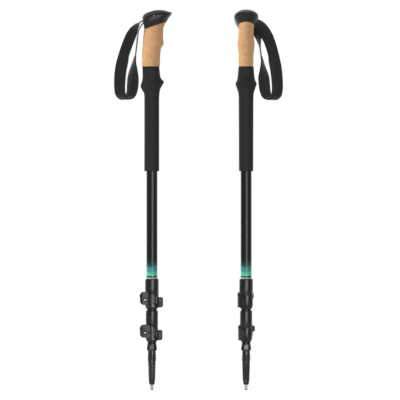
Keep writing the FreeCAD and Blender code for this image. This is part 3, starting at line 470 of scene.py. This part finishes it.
# ---------------------------------------------------------------- levers, dials and bolts
# Each lever is a nylon cam on a steel barrel pin, with grooves in its face and across its tab.
# Each dial is an acetal nut with a scalloped rim. Bolts and barrel pins are blackened steel.

# Nylon without glass is smoother than the clamp's, so its edges catch more light.
lever_nylon, tree, shader = new_finish("moulded_nylon_lever", "#1d1d1e", 0.28, 0.65)
moulded_grain(tree, shader, 0.6 * MM, 0.006 * MM)
# Moulded acetal is a dull, dense black.
dial_acetal, tree, shader = new_finish("moulded_acetal", "#232325", 0.4, 0.4)
moulded_grain(tree, shader, 0.4 * MM, 0.02 * MM)
# Drawn stainless rod is grey with fine lines.
steel, tree, shader = new_finish("stainless_steel", "#8e8e8b", 0.45, 0.5, 1.0)
drawn_grain(tree, shader, 0.2 * MM, 4 * MM, 0.01 * MM)
# Black oxide leaves steel dark with a low metallic sheen.
black_steel, tree, shader = new_finish("black_oxide_steel", "#2c2c2e", 0.38, 0.5, 0.8)
moulded_grain(tree, shader, 0.3 * MM, 0.01 * MM)


BOLT_X, EAR_FACE, SIDE_GAP = -15.3, 4.9, 0.15


def knurled_dial(name, node, side, turn):
    """A short drum across the clamp: its rim is notched by scallops, and its outer face has a
    shallow round hollow."""
    scallops, scallop_depth = 18, 0.07
    low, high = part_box(node)
    middle = (low + high) / 2
    radius, thickness = (high.z - low.z) / 2 / MM, 3.6
    rows = np.array([
        # share of the thickness, share of the radius
        (0, 0.32), (0, 0.86), (0.08, 0.97), (0.22, 1), (0.78, 1), (0.92, 0.96), (1, 0.86),
        (1, 0.62), (0.86, 0.56), (0.86, 0.3),
    ])
    depth = (rows[:, 0] * thickness)[:, None]
    r = (rows[:, 1] * radius)[:, None]
    spin = around(144)[None, :]
    rim = np.clip((rows[:, 1] - 0.9) / 0.1, 0, 1)[:, None]
    r = r * (1 - scallop_depth * rim * np.abs(np.cos(scallops / 2 * spin)) ** 3)
    out = EAR_FACE + SIDE_GAP + np.broadcast_to(depth, r.shape)
    height = middle.z / MM
    grid = np.stack([BOLT_X + r * np.cos(spin), out, height - r * np.sin(spin)], -1)
    return skin(name, stand(grid, side, turn), sharp=30)


def cut_out(piece, *cutters):
    """Takes the cutters' room out of a piece for good, and removes the cutters."""
    for cutter in cutters:
        room = piece.modifiers.new("cut_out", "BOOLEAN")
        room.object, room.operation, room.solver = cutter, "DIFFERENCE", "EXACT"
    evaluated = piece.evaluated_get(bpy.context.evaluated_depsgraph_get())
    piece.data = bpy.data.meshes.new_from_object(evaluated)
    piece.modifiers.clear()
    for cutter in cutters:
        bpy.data.objects.remove(cutter)


def rod(side, turn, middle, radius, half, along):
    """A plain rod to cut with: a circle about its middle, drawn out both ways along y or z."""
    spin = around(40)
    x, up, out = np.broadcast_arrays(radius * np.cos(spin), radius * np.sin(spin),
                                     np.array([[-half], [half]]))
    grid = np.stack([x, out, -up] if along == "y" else [x, up, out], -1)
    return skin("rod_cutter", stand(grid + np.array(middle), side, turn))


def groove_along(distance, width, depth):
    """A rounded groove: depth times exp(-(distance / width) squared)."""
    return depth * np.exp(-(distance / width) ** 2)


def cam_lever(name, side, level, turn):
    """A plate that follows two lines in plan, an inner and an outer one: round the knuckle, along
    the ear, round the sleeve, and straight off as a finger tab. Its section is a rectangle with
    round corners between two edges given by x, and grooves sink into its outer face."""
    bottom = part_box(f"{side}_{level}_clamp")[0].z / MM
    sleeve_radius = {"upper": 11.15, "lower": 10.0}[level]
    inside, outside = sleeve_radius + 0.4, sleeve_radius + 3.2
    knuckle, knuckle_x, knuckle_y, flare, tab = 3.9, BOLT_X, -9.0, math.radians(58), 11.3

    nose = np.linspace(0, math.pi / 2, 24)
    run = np.linspace(0, 1, 70)[1:]
    tab_run = np.linspace(0, 1, 50)[1:]

    def plan(sign, cheek_y, radius):
        meet = -math.sqrt(radius ** 2 - cheek_y ** 2)
        angles = math.asin(meet / radius) + (flare - math.asin(meet / radius)) * run
        end = np.array([radius * math.sin(flare), -radius * math.cos(flare)])
        heading = np.array([math.cos(flare), math.sin(flare)])
        return np.vstack([
            np.stack([knuckle_x - knuckle * np.cos(nose),
                      knuckle_y + sign * knuckle * np.sin(nose)], 1),
            np.stack([knuckle_x + (meet - knuckle_x) * run, np.full(len(run), cheek_y)], 1),
            np.stack([radius * np.sin(angles), -radius * np.cos(angles)], 1),
            end + heading * tab * tab_run[:, None],
        ])

    outer = plan(-1, knuckle_y - knuckle, outside)
    inner = plan(1, knuckle_y + knuckle, inside)
    x = (outer[:, 0] + inner[:, 0]) / 2
    right_end = x[-1]

    def rolled(past, radius):
        """How far a round corner draws an edge in, at a way past the corner's start."""
        return radius - np.sqrt(radius ** 2 - np.clip(past, 0, radius - 0.1) ** 2)

    left_start, left_round, right_round = -12.9, 6.5, 2.6
    round_left = rolled(left_start - x, left_round)
    round_right = rolled(x - right_end + right_round, right_round)
    low = smooth([-30, -8.5, -3.2, 0, 10, 30], [6.8, 6.8, 2.6, 2.4, 2.4, 3], x)
    low = low + round_left + round_right
    high = smooth([-30, -11, -7.8, 5.9, 11.8, 30], [28, 28, 27.4, 21.5, 19.4, 19.4], x)
    high = high - round_left - round_right

    # round the section: the outer face, two corners, the inner face, two corners
    outer_points, inner_points, corner_points = 64, 10, 6
    face, back, whole = np.ones(outer_points), np.ones(inner_points), np.ones(corner_points)
    corner = np.linspace(0, math.pi / 2, corner_points)
    level_unit = np.concatenate([np.linspace(-1, 1, outer_points), whole, whole,
                                 np.linspace(1, -1, inner_points + 2)[1:-1], -whole, -whole])
    bulge_out = np.concatenate([face, np.cos(corner), -np.sin(corner), -back, -np.cos(corner),
                                np.sin(corner)])
    bulge_up = np.concatenate([0 * face, np.sin(corner), np.cos(corner), 0 * back,
                               -np.sin(corner), -np.cos(corner)])
    side_out = np.concatenate([face, whole, -whole, -back, -whole, whole])
    outer_face = np.arange(len(side_out)) < outer_points

    middle, across = (outer + inner) / 2, outer - inner
    thick = np.linalg.norm(across, axis=1)[:, None]
    across = across / np.maximum(thick, 1e-6)
    across[0] = across[1]  # the two lines meet at the nose, so the way across is the next row's
    edge = np.minimum(0.55, 0.45 * thick)
    reach = side_out * (thick / 2 - edge) + edge * bulge_out
    half_height = ((high - low) / 2)[:, None]
    z = ((high + low) / 2)[:, None] + level_unit * (half_height - edge) + edge * bulge_up

    place = np.broadcast_to(x[:, None], z.shape)
    tongue_x, tongue_half, tongue_z = 2.8, 3.0, 11.2
    dot_x, dot_z, hole_x, hole_z, bolt_z = -6.6, 14.4, -11.3, 14.9, 20.9
    from_u = np.where(z > tongue_z, np.abs(np.abs(place - tongue_x) - tongue_half),
                      np.abs(np.hypot(place - tongue_x, z - tongue_z) - tongue_half))
    sunk = groove_along(from_u, 0.55, 0.75)
    sunk = np.maximum(sunk, groove_along(np.hypot(place - dot_x, z - dot_z), 1.1, 1.0))
    from_ring = np.abs(np.hypot(place - hole_x, z - hole_z) - 3.1)
    sunk = np.maximum(sunk, groove_along(from_ring, 0.4, 0.35))
    on_tab = smooth([-30, 12.5, 13.5, right_end - 1.2, right_end - 0.6, 40], [0, 0, 1, 1, 0, 0],
                    place)
    for groove_z in (6.5, 9.5, 12.5, 15.5):
        sunk = np.maximum(sunk, on_tab * groove_along(z - groove_z, 0.5, 0.5))
    if level == "lower":
        for groove_x in (-17.2, -15.4, -13.6):
            upright = groove_along(place - groove_x, 0.35, 0.4) * (z > 9) * (z < 26)
            sunk = np.maximum(sunk, upright)
    reach = reach - sunk * outer_face * (thick > 2)
    grid = np.concatenate([middle[:, None, :] + across[:, None, :] * reach[..., None],
                           (z + bottom)[..., None]], -1)
    lever = skin(name, stand(grid[:, ::-1], side, turn), sharp=38)
    # room for the bolt, the barrel pin's bore and the small hole through the plate
    bolt = (knuckle_x, knuckle_y, bottom + bolt_z)
    cut_out(lever, rod(side, turn, bolt, 4.0, 2.3, "z"), rod(side, turn, bolt, 2.25, 20, "z"),
            rod(side, turn, (hole_x, -10, bottom + hole_z), 1.3, 12, "y"))
    return lever


CLAMP_TURN = {("left", "upper"): 0, ("left", "lower"): 0,
              ("right", "upper"): -13, ("right", "lower"): -20}
for (side, level), turn in CLAMP_TURN.items():
    stem = f"{side}_{level}"
    lever = cam_lever(f"{stem}_cam_lever", side, level, turn)
    dress(lever, f"{stem}_lever", "lever_plastic", lever_nylon, f"{stem}_lever")
    dial = knurled_dial(f"{stem}_knurled_dial", f"{stem}_tension_dial", side, turn)
    dress(dial, f"{stem}_dial", "dial_plastic", dial_acetal, f"{stem}_tension_dial")
    bare(f"{stem}_barrel_pin", f"{stem}_tension_bolt", finish=black_steel)

# ---------------------------------------------------------------- foam sleeves
# Closed-cell EVA foam, moulded in one piece over the upper tube: slim below for a low hold, with a
# ridge under the hand. Its skin is matt and finely pitted.

foam_colour = "#2b2c2e"
foam, tree, shader = new_finish("moulded_eva_foam", foam_colour, 0.72, 0.25)
add_sheen(shader, 0.05, 0.5)
place = add(tree, "ShaderNodeTexCoord")
cells = add(tree, "ShaderNodeTexVoronoi", {"Vector": place.outputs["Object"],
                                           "Scale": 1 / (0.9 * MM)})
shade = add(tree, "ShaderNodeMapRange", {"Value": cells.outputs["Distance"], "To Min": 0.8,
                                         "To Max": 1.2})
tint = add(tree, "ShaderNodeVectorMath", {0: colour(foam_colour)[:3], 3: shade.outputs[0]},
           operation="SCALE")
tree.links.new(tint.outputs[0], shader.inputs["Base Color"])
add_bump(tree, shader, cells.outputs["Distance"], 0.05 * MM, 0.5)


def foam_sleeve(name, side):
    """Ovals up the pole: half length, half width and the way forward by height, each tilted by an
    angle that grows towards the ridge, height + x tan(tilt)."""
    rows = np.array([
        # height, half length, half width, forward, tilt
        (357.2, 9.1, 9.1, 0, 0), (357.2, 11.3, 10.8, -0.25, 0), (357.5, 11.9, 11.4, -0.25, 0),
        (358.2, 12.15, 11.6, -0.25, 0), (420, 12.1, 11.8, -0.2, 0), (475.2, 12.1, 12.05, -0.2, 0),
        (483.2, 12.5, 12.45, -0.15, 0.8), (490, 14.6, 14.2, -0.9, 4.8),
        (494.5, 16.9, 15.8, -0.4, 7.5),
        (498, 18.9, 17, 0.4, 9.4), (499.3, 19.45, 17.4, 0.6, 9.6), (500.6, 19, 17.1, 0.5, 9.6),
        (504, 17, 15.6, 0, 8), (508, 15.2, 14.3, -0.5, 4.5), (512, 14.5, 13.7, -0.75, 1.5),
        (520, 14.1, 13, -1.3, 0), (527.3, 13.85, 12.3, -1.75, 0), (527.8, 13.5, 11.9, -1.75, 0),
        (528, 12.6, 11.2, -1.75, 0),
    ])
    travel = travelled(np.hypot(np.diff(rows[:, 0]), np.diff(rows[:, 1])))
    at = np.unique(np.concatenate((np.linspace(0, travel[-1], 200), travel)))
    z, long, wide, forward, tilt = (smooth(travel, rows[:, part], at)[:, None] for part in range(5))
    turn = around(96)[None, :]
    x = forward + long * np.cos(turn)
    grid = np.stack([x, wide * np.sin(turn), z + x * np.tan(np.radians(tilt))], -1)
    return skin(name, stand(grid, side), caps=False, sharp=50)


for side in POLE_TURN:
    sleeve = foam_sleeve(f"{side}_foam_sleeve", side)
    dress(sleeve, f"{side}_upper_section", "foam", foam, f"{side}_foam_grip")

# ---------------------------------------------------------------- cork grips
# Agglomerated cork, pressed from granules of two to three millimetres, turned and sanded to a
# finger swell. It sits on a plastic core that hides under it.

cork, tree, shader = new_finish("agglomerated_cork", "#e6b27c", 0.78, 0.3)
place = add(tree, "ShaderNodeTexCoord")
warp = add(tree, "ShaderNodeTexNoise", {"Vector": place.outputs["Object"], "Scale": 1 / (3 * MM)})
bent = add(tree, "ShaderNodeVectorMath", {0: warp.outputs["Color"], 1: (1.2 * MM,) * 3,
                                          2: place.outputs["Object"]}, operation="MULTIPLY_ADD")
granule = 2.6 * MM
granules = add(tree, "ShaderNodeTexVoronoi", {"Vector": bent.outputs[0], "Scale": 1 / granule})
pick = add(tree, "ShaderNodeSeparateColor", {0: granules.outputs["Color"]})
shades = add(tree, "ShaderNodeValToRGB", {0: pick.outputs[0]})
stops = shades.color_ramp.elements
stops[0].position, stops[0].color = 0.0, colour("#dba470")
stops[1].position, stops[1].color = 1.0, colour("#f8c896")
for position, code in ((0.08, "#ebb37e"), (0.5, "#f2bb86"), (0.85, "#f5c18d")):
    stop = stops.new(position)
    stop.color = colour(code)
joint_line = add(tree, "ShaderNodeTexVoronoi", {"Vector": bent.outputs[0], "Scale": 1 / granule},
                 feature="DISTANCE_TO_EDGE")
binder = add(tree, "ShaderNodeMapRange", {"Value": joint_line.outputs["Distance"],
                                          "From Max": 0.08, "To Min": 0.93})
pitted = add(tree, "ShaderNodeTexNoise", {"Vector": place.outputs["Object"],
                                          "Scale": 1 / (1.1 * MM), "Detail": 3.0})
pits = add(tree, "ShaderNodeMapRange", {"Value": pitted.outputs["Fac"], "From Min": 0.3,
                                        "From Max": 0.38, "To Min": 0.84})
shade = add(tree, "ShaderNodeMath", {0: binder.outputs[0], 1: pits.outputs[0]},
            operation="MULTIPLY")
tint = add(tree, "ShaderNodeVectorMath", {0: shades.outputs[0], 3: shade.outputs[0]},
           operation="SCALE")
tree.links.new(tint.outputs[0], shader.inputs["Base Color"])
add_bump(tree, shader, shade.outputs[0], 0.08 * MM, 0.5)

RIM_FORWARD, RIM_HEIGHT, RIM_TILT = 5.85, 594.75, math.radians(17.7)


def cork_sleeve(name, side):
    """Ovals up the pole: back, front and half width are smooth functions of height. Their planes
    lean forwards more and more, so that the last one lies on the head's tilted rim."""
    foot = 528
    rows = np.array([
        # above the foot, back, front, half width
        (0, -16, 13, 11.9), (17, -16, 13.5, 12.1), (29, -15.4, 14.8, 13.3),
        (37.5, -14.8, 19.2, 13.9),
        (46, -14.2, 18.4, 12.8), (59, -12.8, 18.4, 12.2), (70, -12.2, 21.6, 12.9),
        (80, -12, 25.6, 13.6),
    ])
    levels, points = 120, 96
    share = np.linspace(0, 1, levels)[:, None]
    turn = around(points)[None, :]
    lean = math.tan(RIM_TILT) * smooth([0, 0.35, 1], [0, 0.1, 1], share)
    level = share * (RIM_HEIGHT - foot)
    up = np.broadcast_to(level, (levels, points))
    # width hangs on height and height on width, so a few rounds bring the two together
    for _ in range(6):
        back, front, half = (smooth(rows[:, 0], rows[:, part], up) for part in (1, 2, 3))
        x = (back + front) / 2 + (front - back) / 2 * np.cos(turn)
        up = level + lean * (x - RIM_FORWARD * share)
    y = half * np.sin(turn)
    grid = np.stack([x, y, foot + np.clip(up, 0, None)], -1)
    return skin(name, stand(grid, side))


# The core's moulded nylon is dull, and the cork hides it.
core_nylon, tree, shader = new_finish("moulded_nylon_core", "#343436", 0.5, 0.4)
moulded_grain(tree, shader, 0.6 * MM, 0.02 * MM)
for side in POLE_TURN:
    sleeve = cork_sleeve(f"{side}_cork_sleeve", side)
    dress(sleeve, f"{side}_upper_section", "cork", cork, f"{side}_cork_grip")
    bare(f"{side}_grip_core", finish=core_nylon)

# ---------------------------------------------------------------- heads
# A nylon palm rest, moulded in two pieces that meet at a seam: a shell with a slot for the strap,
# and a softer, finely textured cap whose peg is held by a steel cross pin.

# Moulded nylon is satin. The cap's rubber is greyer, duller and coarser in grain than the shell.
head_nylon, tree, shader = new_finish("moulded_nylon_head", "#28292b", 0.42, 0.45)
moulded_grain(tree, shader, 0.6 * MM, 0.03 * MM)
cap_rubber, tree, shader = new_finish("moulded_thermoplastic_rubber", "#3f4043", 0.6, 0.45)
moulded_grain(tree, shader, 0.9 * MM, 0.08 * MM, 0.8)

HEAD_ROWS = np.array([
    # rise from the rim, back, front, half width
    (0, -18.85, 18.85, 13.5), (5, -18.6, 24, 17), (9, -18.4, 29.6, 19.2), (11.8, -18.2, 31.9, 19.9),
    (14.4, -17.9, 29, 19.8), (17.6, -17, 24.2, 18.4), (20.8, -15.2, 18.2, 14.6),
    (23.2, -11.9, 11.6, 9.8), (24.3, -7.4, 5.8, 5), (24.6, -0.8, -0.8, 0.02),
])
SEAM_RISE, SEAM_GAP = 17.6, 0.1
PIN_BACK, PIN_HEIGHT, DROOP = -9.5, 603.5, math.radians(32)


def raised_from_rim(grid):
    """Points about the rim's middle, with height square to the rim, turned by the rim's tilt."""
    x, y, rise = grid[..., 0], grid[..., 1], grid[..., 2]
    cosine, sine = math.cos(RIM_TILT), math.sin(RIM_TILT)
    return np.stack([RIM_FORWARD + x * cosine - rise * sine, y,
                     RIM_HEIGHT + x * sine + rise * cosine], -1)


def squared(wave, power):
    """A cosine or sine raised to a power with its sign kept, which squares a circle's corners."""
    return np.sign(wave) * np.abs(wave) ** power


def head_surface(name, side, start, end, grooves=()):
    """Ovals stacked square to the rim, |x/a|^n + |y/b|^n = 1 with a squarer n behind: back, front
    and half width are smooth functions of the way travelled up the outline from start to end. Each
    groove (where, width, depth) draws them in, and each open end is rolled by a quarter round."""
    travel = travelled(np.hypot(np.diff(HEAD_ROWS[:, 0]), np.diff(HEAD_ROWS[:, 3])))
    way = np.interp([start, end], HEAD_ROWS[:, 0], travel)
    at = np.linspace(*way, 110)
    rise, back, front, half = (smooth(travel, HEAD_ROWS[:, part], at)[:, None]
                               for part in range(4))
    inset = np.zeros_like(rise)
    for where, width, depth in grooves:
        inset += groove_along(rise - where, width, depth)
    roll = 0.6
    past_ends = [at - way[0]] + ([way[1] - at] if end < HEAD_ROWS[-1, 0] else [])
    for past in past_ends:
        edge = np.clip(1 - past[:, None] / roll, 0, 1)
        inset += roll * (1 - np.sqrt(1 - edge ** 2))
    turn = around(128)[None, :]
    reach = np.clip((front - back) / 2 - inset, 0.01, None)
    half = np.clip(half - inset, 0.01, None)
    power = np.where(np.cos(turn) < 0, smooth([0, 12, 18, 25], [4.6, 4.6, 3.2, 2], rise), 2)
    x = (back + front) / 2 + reach * squared(np.cos(turn), 2 / power)
    y = half * squared(np.sin(turn), 2 / power)
    grid = np.stack([x, y, np.broadcast_to(rise, x.shape)], -1)
    return skin(name, stand(raised_from_rim(grid), side), sharp=45)


def strap_slot(name, side):
    """A prism across the head: round about the strap pin, with two sides that open to the back."""
    radius, half, reach, lifted = 6.0, 11.75, 20, math.radians(4)
    bend = np.linspace(-math.pi / 2 + DROOP, math.pi / 2 + lifted, 24)
    x, z = PIN_BACK + radius * np.cos(bend), PIN_HEIGHT + radius * np.sin(bend)
    x = np.concatenate((x, [x[-1] - reach * math.cos(lifted), x[0] - reach * math.cos(DROOP)]))
    z = np.concatenate((z, [z[-1] - reach * math.sin(lifted), z[0] - reach * math.sin(DROOP)]))
    grid = np.stack(np.broadcast_arrays(x, np.array([[half], [-half]]), z), -1)
    return skin(name, stand(grid, side))


cross_pin, cross_pin_hole = (3.6, 0, 610), 1.05
for side in POLE_TURN:
    shell = head_surface(f"{side}_head_lower", side, 0, SEAM_RISE - SEAM_GAP)
    cut_out(shell, strap_slot(f"{side}_slot_cutter", side),
            rod(side, 0, cross_pin, cross_pin_hole, 30, "y"))
    dress(shell, f"{side}_upper_section", "head_plastic", head_nylon, f"{side}_head_shell")
    cap = head_surface(f"{side}_palm_cap", side, SEAM_RISE, HEAD_ROWS[-1, 0], [(21.9, 0.35, 0.35)])
    dress(cap, f"{side}_upper_section", "cap_plastic", cap_rubber, f"{side}_head_cap")
    bare(f"{side}_head_pin", f"{side}_strap_pin", finish=steel)

# ---------------------------------------------------------------- wrist straps
# Woven polyester webbing, 20 mm wide, sewn to an eye round the strap pin. The part that goes
# round the wrist is lined with a soft brushed pad, sewn on along both edges.

# Woven polyester has slanted ribs and a soft sheen at its edges.
webbing, tree, shader = new_finish("woven_polyester_webbing", "#1c1c1e", 0.62, 0.4)
add_sheen(shader, 0.25, 0.4)


def twill(tree, shader, rib, depth, base, light):
    """Slanted ribs that change sides at the middle of the band: sin of across and along, added."""
    along = add(tree, "ShaderNodeAttribute", attribute_name="along")
    across = add(tree, "ShaderNodeAttribute", attribute_name="across")
    folded = add(tree, "ShaderNodeMath", {0: across.outputs["Fac"]}, operation="ABSOLUTE")
    way = add(tree, "ShaderNodeMath", {0: along.outputs["Fac"], 1: folded.outputs[0]},
              operation="ADD")
    turn = add(tree, "ShaderNodeMath", {0: way.outputs[0], 1: 2 * math.pi / rib},
               operation="MULTIPLY")
    ribs = add(tree, "ShaderNodeMath", {0: turn.outputs[0]}, operation="SINE")
    length = add(tree, "ShaderNodeMath", {0: across.outputs["Fac"], 1: 2 * math.pi / (rib * 1.3)},
                 operation="MULTIPLY")
    warp = add(tree, "ShaderNodeMath", {0: length.outputs[0]}, operation="COSINE")
    both = add(tree, "ShaderNodeMath", {0: warp.outputs[0], 1: 0.5, 2: ribs.outputs[0]},
               operation="MULTIPLY_ADD")
    share = add(tree, "ShaderNodeMapRange", {"Value": both.outputs[0], "From Min": -1.5,
                                             "From Max": 1.5})
    mix = add(tree, "ShaderNodeMix", {0: share.outputs[0], 6: colour(base), 7: colour(light)},
              data_type="RGBA")
    tree.links.new(mix.outputs[2], shader.inputs["Base Color"])
    add_bump(tree, shader, share.outputs[0], depth, 0.7)


twill(tree, shader, 1.7 * MM, 0.12 * MM, "#141415", "#2a2a2c")
# A brushed lining is matt and greyer than the webbing, with a fine nap.
lining, tree, shader = new_finish("brushed_polyester_lining", "#505154", 0.8, 0.3)
add_sheen(shader, 0.6, 0.45)
place = add(tree, "ShaderNodeTexCoord")
nap = add(tree, "ShaderNodeTexNoise", {"Vector": place.outputs["Object"], "Scale": 1 / (0.8 * MM),
                                       "Detail": 3.0})
add_bump(tree, shader, nap.outputs["Fac"], 0.1 * MM, 0.6)

TAIL, WEB_LIFT, WEB_HALF, WEB_THICK, PAD_HALF, PAD_THICK = 3.7, 1.45, 10, 1.6, 11, 1.4
SEWN_GAP = 0.05
LOOPS = {
    # side: rows of the webbing's middle about the strap pin's height, and its width's direction
    "left": [
        ((-17.4, -0.4, -2.2), (0, -1, 0)), ((-22.4, -1.4, -5.3), (0.35, -0.93, 0)),
        ((-27.2, -2.8, -11.6), (0.66, -0.75, 0)), ((-31.4, -4.2, -19.6), (0.84, -0.54, 0)),
        ((-37.2, -5.4, -32.9), (0.9, -0.43, 0)), ((-42, -6.2, -45.8), (0.9, -0.43, 0)),
        ((-46.2, -6.9, -58.9), (0.9, -0.43, 0)), ((-49.6, -7.3, -71.8), (0.9, -0.43, 0)),
        ((-51.9, -7.4, -84.7), (0.88, -0.47, 0)), ((-53, -7.3, -97.8), (0.86, -0.5, 0)),
        ((-53.2, -6.8, -110.8), (0.82, -0.57, 0)), ((-51.6, -5.4, -121.9), (0.78, -0.62, 0)),
        ((-44, 0.4, -128.9), (0.76, -0.65, 0)), ((-35.6, 6.8, -124.9), (0.78, -0.62, 0)),
        ((-32, 9.2, -116.5), (0.82, -0.57, 0)), ((-30.8, 10.2, -105.5), (0.88, -0.47, 0)),
        ((-30.2, 10.8, -94.5), (0.85, -0.53, 0)), ((-29.4, 11, -81.4), (0.6, -0.8, 0)),
        ((-28.4, 10.9, -68.4), (0.25, -0.97, 0)), ((-26.8, 10.2, -55.3), (0.1, -1, 0)),
        ((-25.2, 8.8, -42.2), (0.1, -1, 0)), ((-23.8, 6.8, -29.2), (0.1, -1, 0)),
        ((-21.8, 4, -17.8), (0.05, -1, 0)), ((-18.6, 1.4, -10.5), (0, -1, 0)),
        ((-15.4, 0.3, -6.1), (0, -1, 0)),
    ],
    "right": [
        ((-17, 0.4, -5.5), (0.1, 0.98, 0.15)), ((-22.2, 2.8, -6.7), (0.45, 0.75, 0.4)),
        ((-26, 8.4, -6), (0.4, 0.45, 0.8)), ((-27, 15.6, -5.6), (0.3, 0.4, 0.86)),
        ((-25.6, 23, -9.6), (0.1, 0.6, 0.79)), ((-22.8, 29.6, -16.8), (-0.12, 0.76, 0.62)),
        ((-19.4, 35.6, -27), (-0.3, 0.85, 0.42)), ((-16.4, 40.2, -38.6), (-0.4, 0.86, 0.32)),
        ((-13.8, 43.6, -50.4), (-0.43, 0.87, 0.25)), ((-11.4, 46.4, -62.4), (-0.43, 0.88, 0.2)),
        ((-9.4, 49, -74.9), (-0.43, 0.9, 0.1)), ((-8.6, 50.8, -87.9), (-0.47, 0.88, 0)),
        ((-8.4, 51.9, -101), (-0.52, 0.85, 0)), ((-9.2, 52, -113.5), (-0.57, 0.82, 0)),
        ((-11.2, 50.2, -123.1), (-0.62, 0.78, 0)), ((-17.6, 43, -128.9), (-0.65, 0.76, 0)),
        ((-24.2, 34.8, -124.9), (-0.62, 0.78, 0)), ((-26.8, 31.2, -116.1), (-0.57, 0.82, 0)),
        ((-27.8, 29.6, -104.5), (-0.5, 0.86, 0)), ((-28, 28.6, -92.5), (-0.55, 0.83, 0)),
        ((-28.2, 27.7, -80.5), (-0.85, 0.52, 0)), ((-28.4, 26.7, -68.4), (-1, 0.2, 0)),
        ((-28.8, 25, -55.3), (-1, 0.1, 0)), ((-29.8, 23.2, -42.7), (-1, 0.12, 0)),
        ((-31.6, 20.8, -30.1), (-0.9, 0.4, 0.15)), ((-33.4, 18.4, -19.9), (-0.65, 0.7, 0.3)),
        ((-33.8, 14.4, -11.6), (-0.25, 0.75, 0.6)), ((-31.6, 8.2, -6), (0.2, 0.6, 0.75)),
        ((-25.2, 2.2, -3.1), (0.3, 0.85, 0.4)), ((-19, 0.2, -1.7), (0.05, 0.98, 0.1)),
    ],
}
STARTS_HIGH = {"left": True, "right": False}
PAD_DROP = 57


def loop_course(side, count=420):
    """The middle of a strap, its width's direction and the way out of its face, evenly along the
    whole loop: cubic pieces through the rows, from one leg at the sewn end round to the other."""
    rows = LOOPS[side]
    lift = WEB_LIFT if STARTS_HIGH[side] else -WEB_LIFT
    facing = math.copysign(1, rows[0][1][1])
    ends = []
    for sign in (1, -1):
        back, up = -TAIL - SEWN_GAP, sign * lift
        ends.append(((PIN_BACK + back * math.cos(DROOP) - up * math.sin(DROOP), 0,
                      back * math.sin(DROOP) + up * math.cos(DROOP)), (0, facing, 0)))
    rows = [ends[0]] + rows + [ends[1]]
    spots = np.array([spot for spot, _ in rows], float)
    widths = np.array([width for _, width in rows], float)
    travel = travelled(np.linalg.norm(np.diff(spots, axis=0), axis=1))
    at = np.linspace(0, travel[-1], count)

    def curve(values):
        lean = np.gradient(values, travel, axis=0)
        piece = np.clip(np.searchsorted(travel, at, side="right") - 1, 0, len(travel) - 2)
        gap = np.diff(travel)[piece][:, None]
        t = (at - travel[piece])[:, None] / gap
        return cubic(t, gap, values[piece], values[piece + 1], lean[piece], lean[piece + 1])

    middle, wide = curve(spots), curve(widths)
    ahead = np.gradient(middle, axis=0)
    ahead /= np.linalg.norm(ahead, axis=1)[:, None]
    wide -= ahead * (wide * ahead).sum(1)[:, None]
    wide /= np.linalg.norm(wide, axis=1)[:, None]
    out = np.cross(ahead, wide)
    middle[:, 2] += PIN_HEIGHT
    return middle, wide, out, at


def band_skin(name, side, chosen, half, thick, gap=None, crown=0.0, squareness=5.0, end=0):
    """A band along a loop. Its section is a flattened superellipse, |x/a|^n + |y/b|^n = 1, set
    inwards from the loop's middle surface and crowned in the middle of its width. With an end
    length, width and thickness grow from their ends as 1 - (1 - way / end) squared."""
    middle, wide, out, way = (part[chosen] for part in loop_course(side))
    from_end = np.minimum(way - way[0], way[-1] - way)
    near = np.clip(from_end / end, 0, 1) if end else np.ones(len(way))
    grown = (1 - (1 - near) ** 2)[:, None]
    narrow, thin = 0.86 + 0.14 * grown, 0.2 + 0.8 * grown
    turn = around(40)
    x = half * squared(np.cos(turn), 2 / squareness)
    y = thick / 2 * squared(np.sin(turn), 2 / 2.5)
    y = y - crown * (1 - (x / half) ** 2) * (y < 0)
    inward = 0 if gap is None else gap + thick / 2 * thin
    grid = ((middle - out * inward)[:, None] + wide[:, None] * (x * narrow)[..., None]
            + out[:, None] * (y * thin)[..., None])
    return skin(name, stand(grid[:, ::-1], side), across=(x * MM)[None, ::-1],
                along=(way * MM)[:, None])


for side in POLE_TURN:
    web = band_skin(f"{side}_webbing", side, slice(None), WEB_HALF, WEB_THICK)
    dress(web, f"{side}_strap", "strap_webbing", webbing, f"{side}_strap_web")
    middle = loop_course(side)[0]
    low = np.flatnonzero(middle[:, 2] < PIN_HEIGHT - PAD_DROP)
    pad = band_skin(f"{side}_lining", side, slice(low[0], low[-1] + 1), PAD_HALF, PAD_THICK,
                    gap=WEB_THICK / 2 + SEWN_GAP, crown=0.4, squareness=3.5, end=16)
    dress(pad, f"{side}_strap", "strap_lining", lining, f"{side}_strap_pad")
    bare(f"{side}_strap_anchor", finish=webbing)
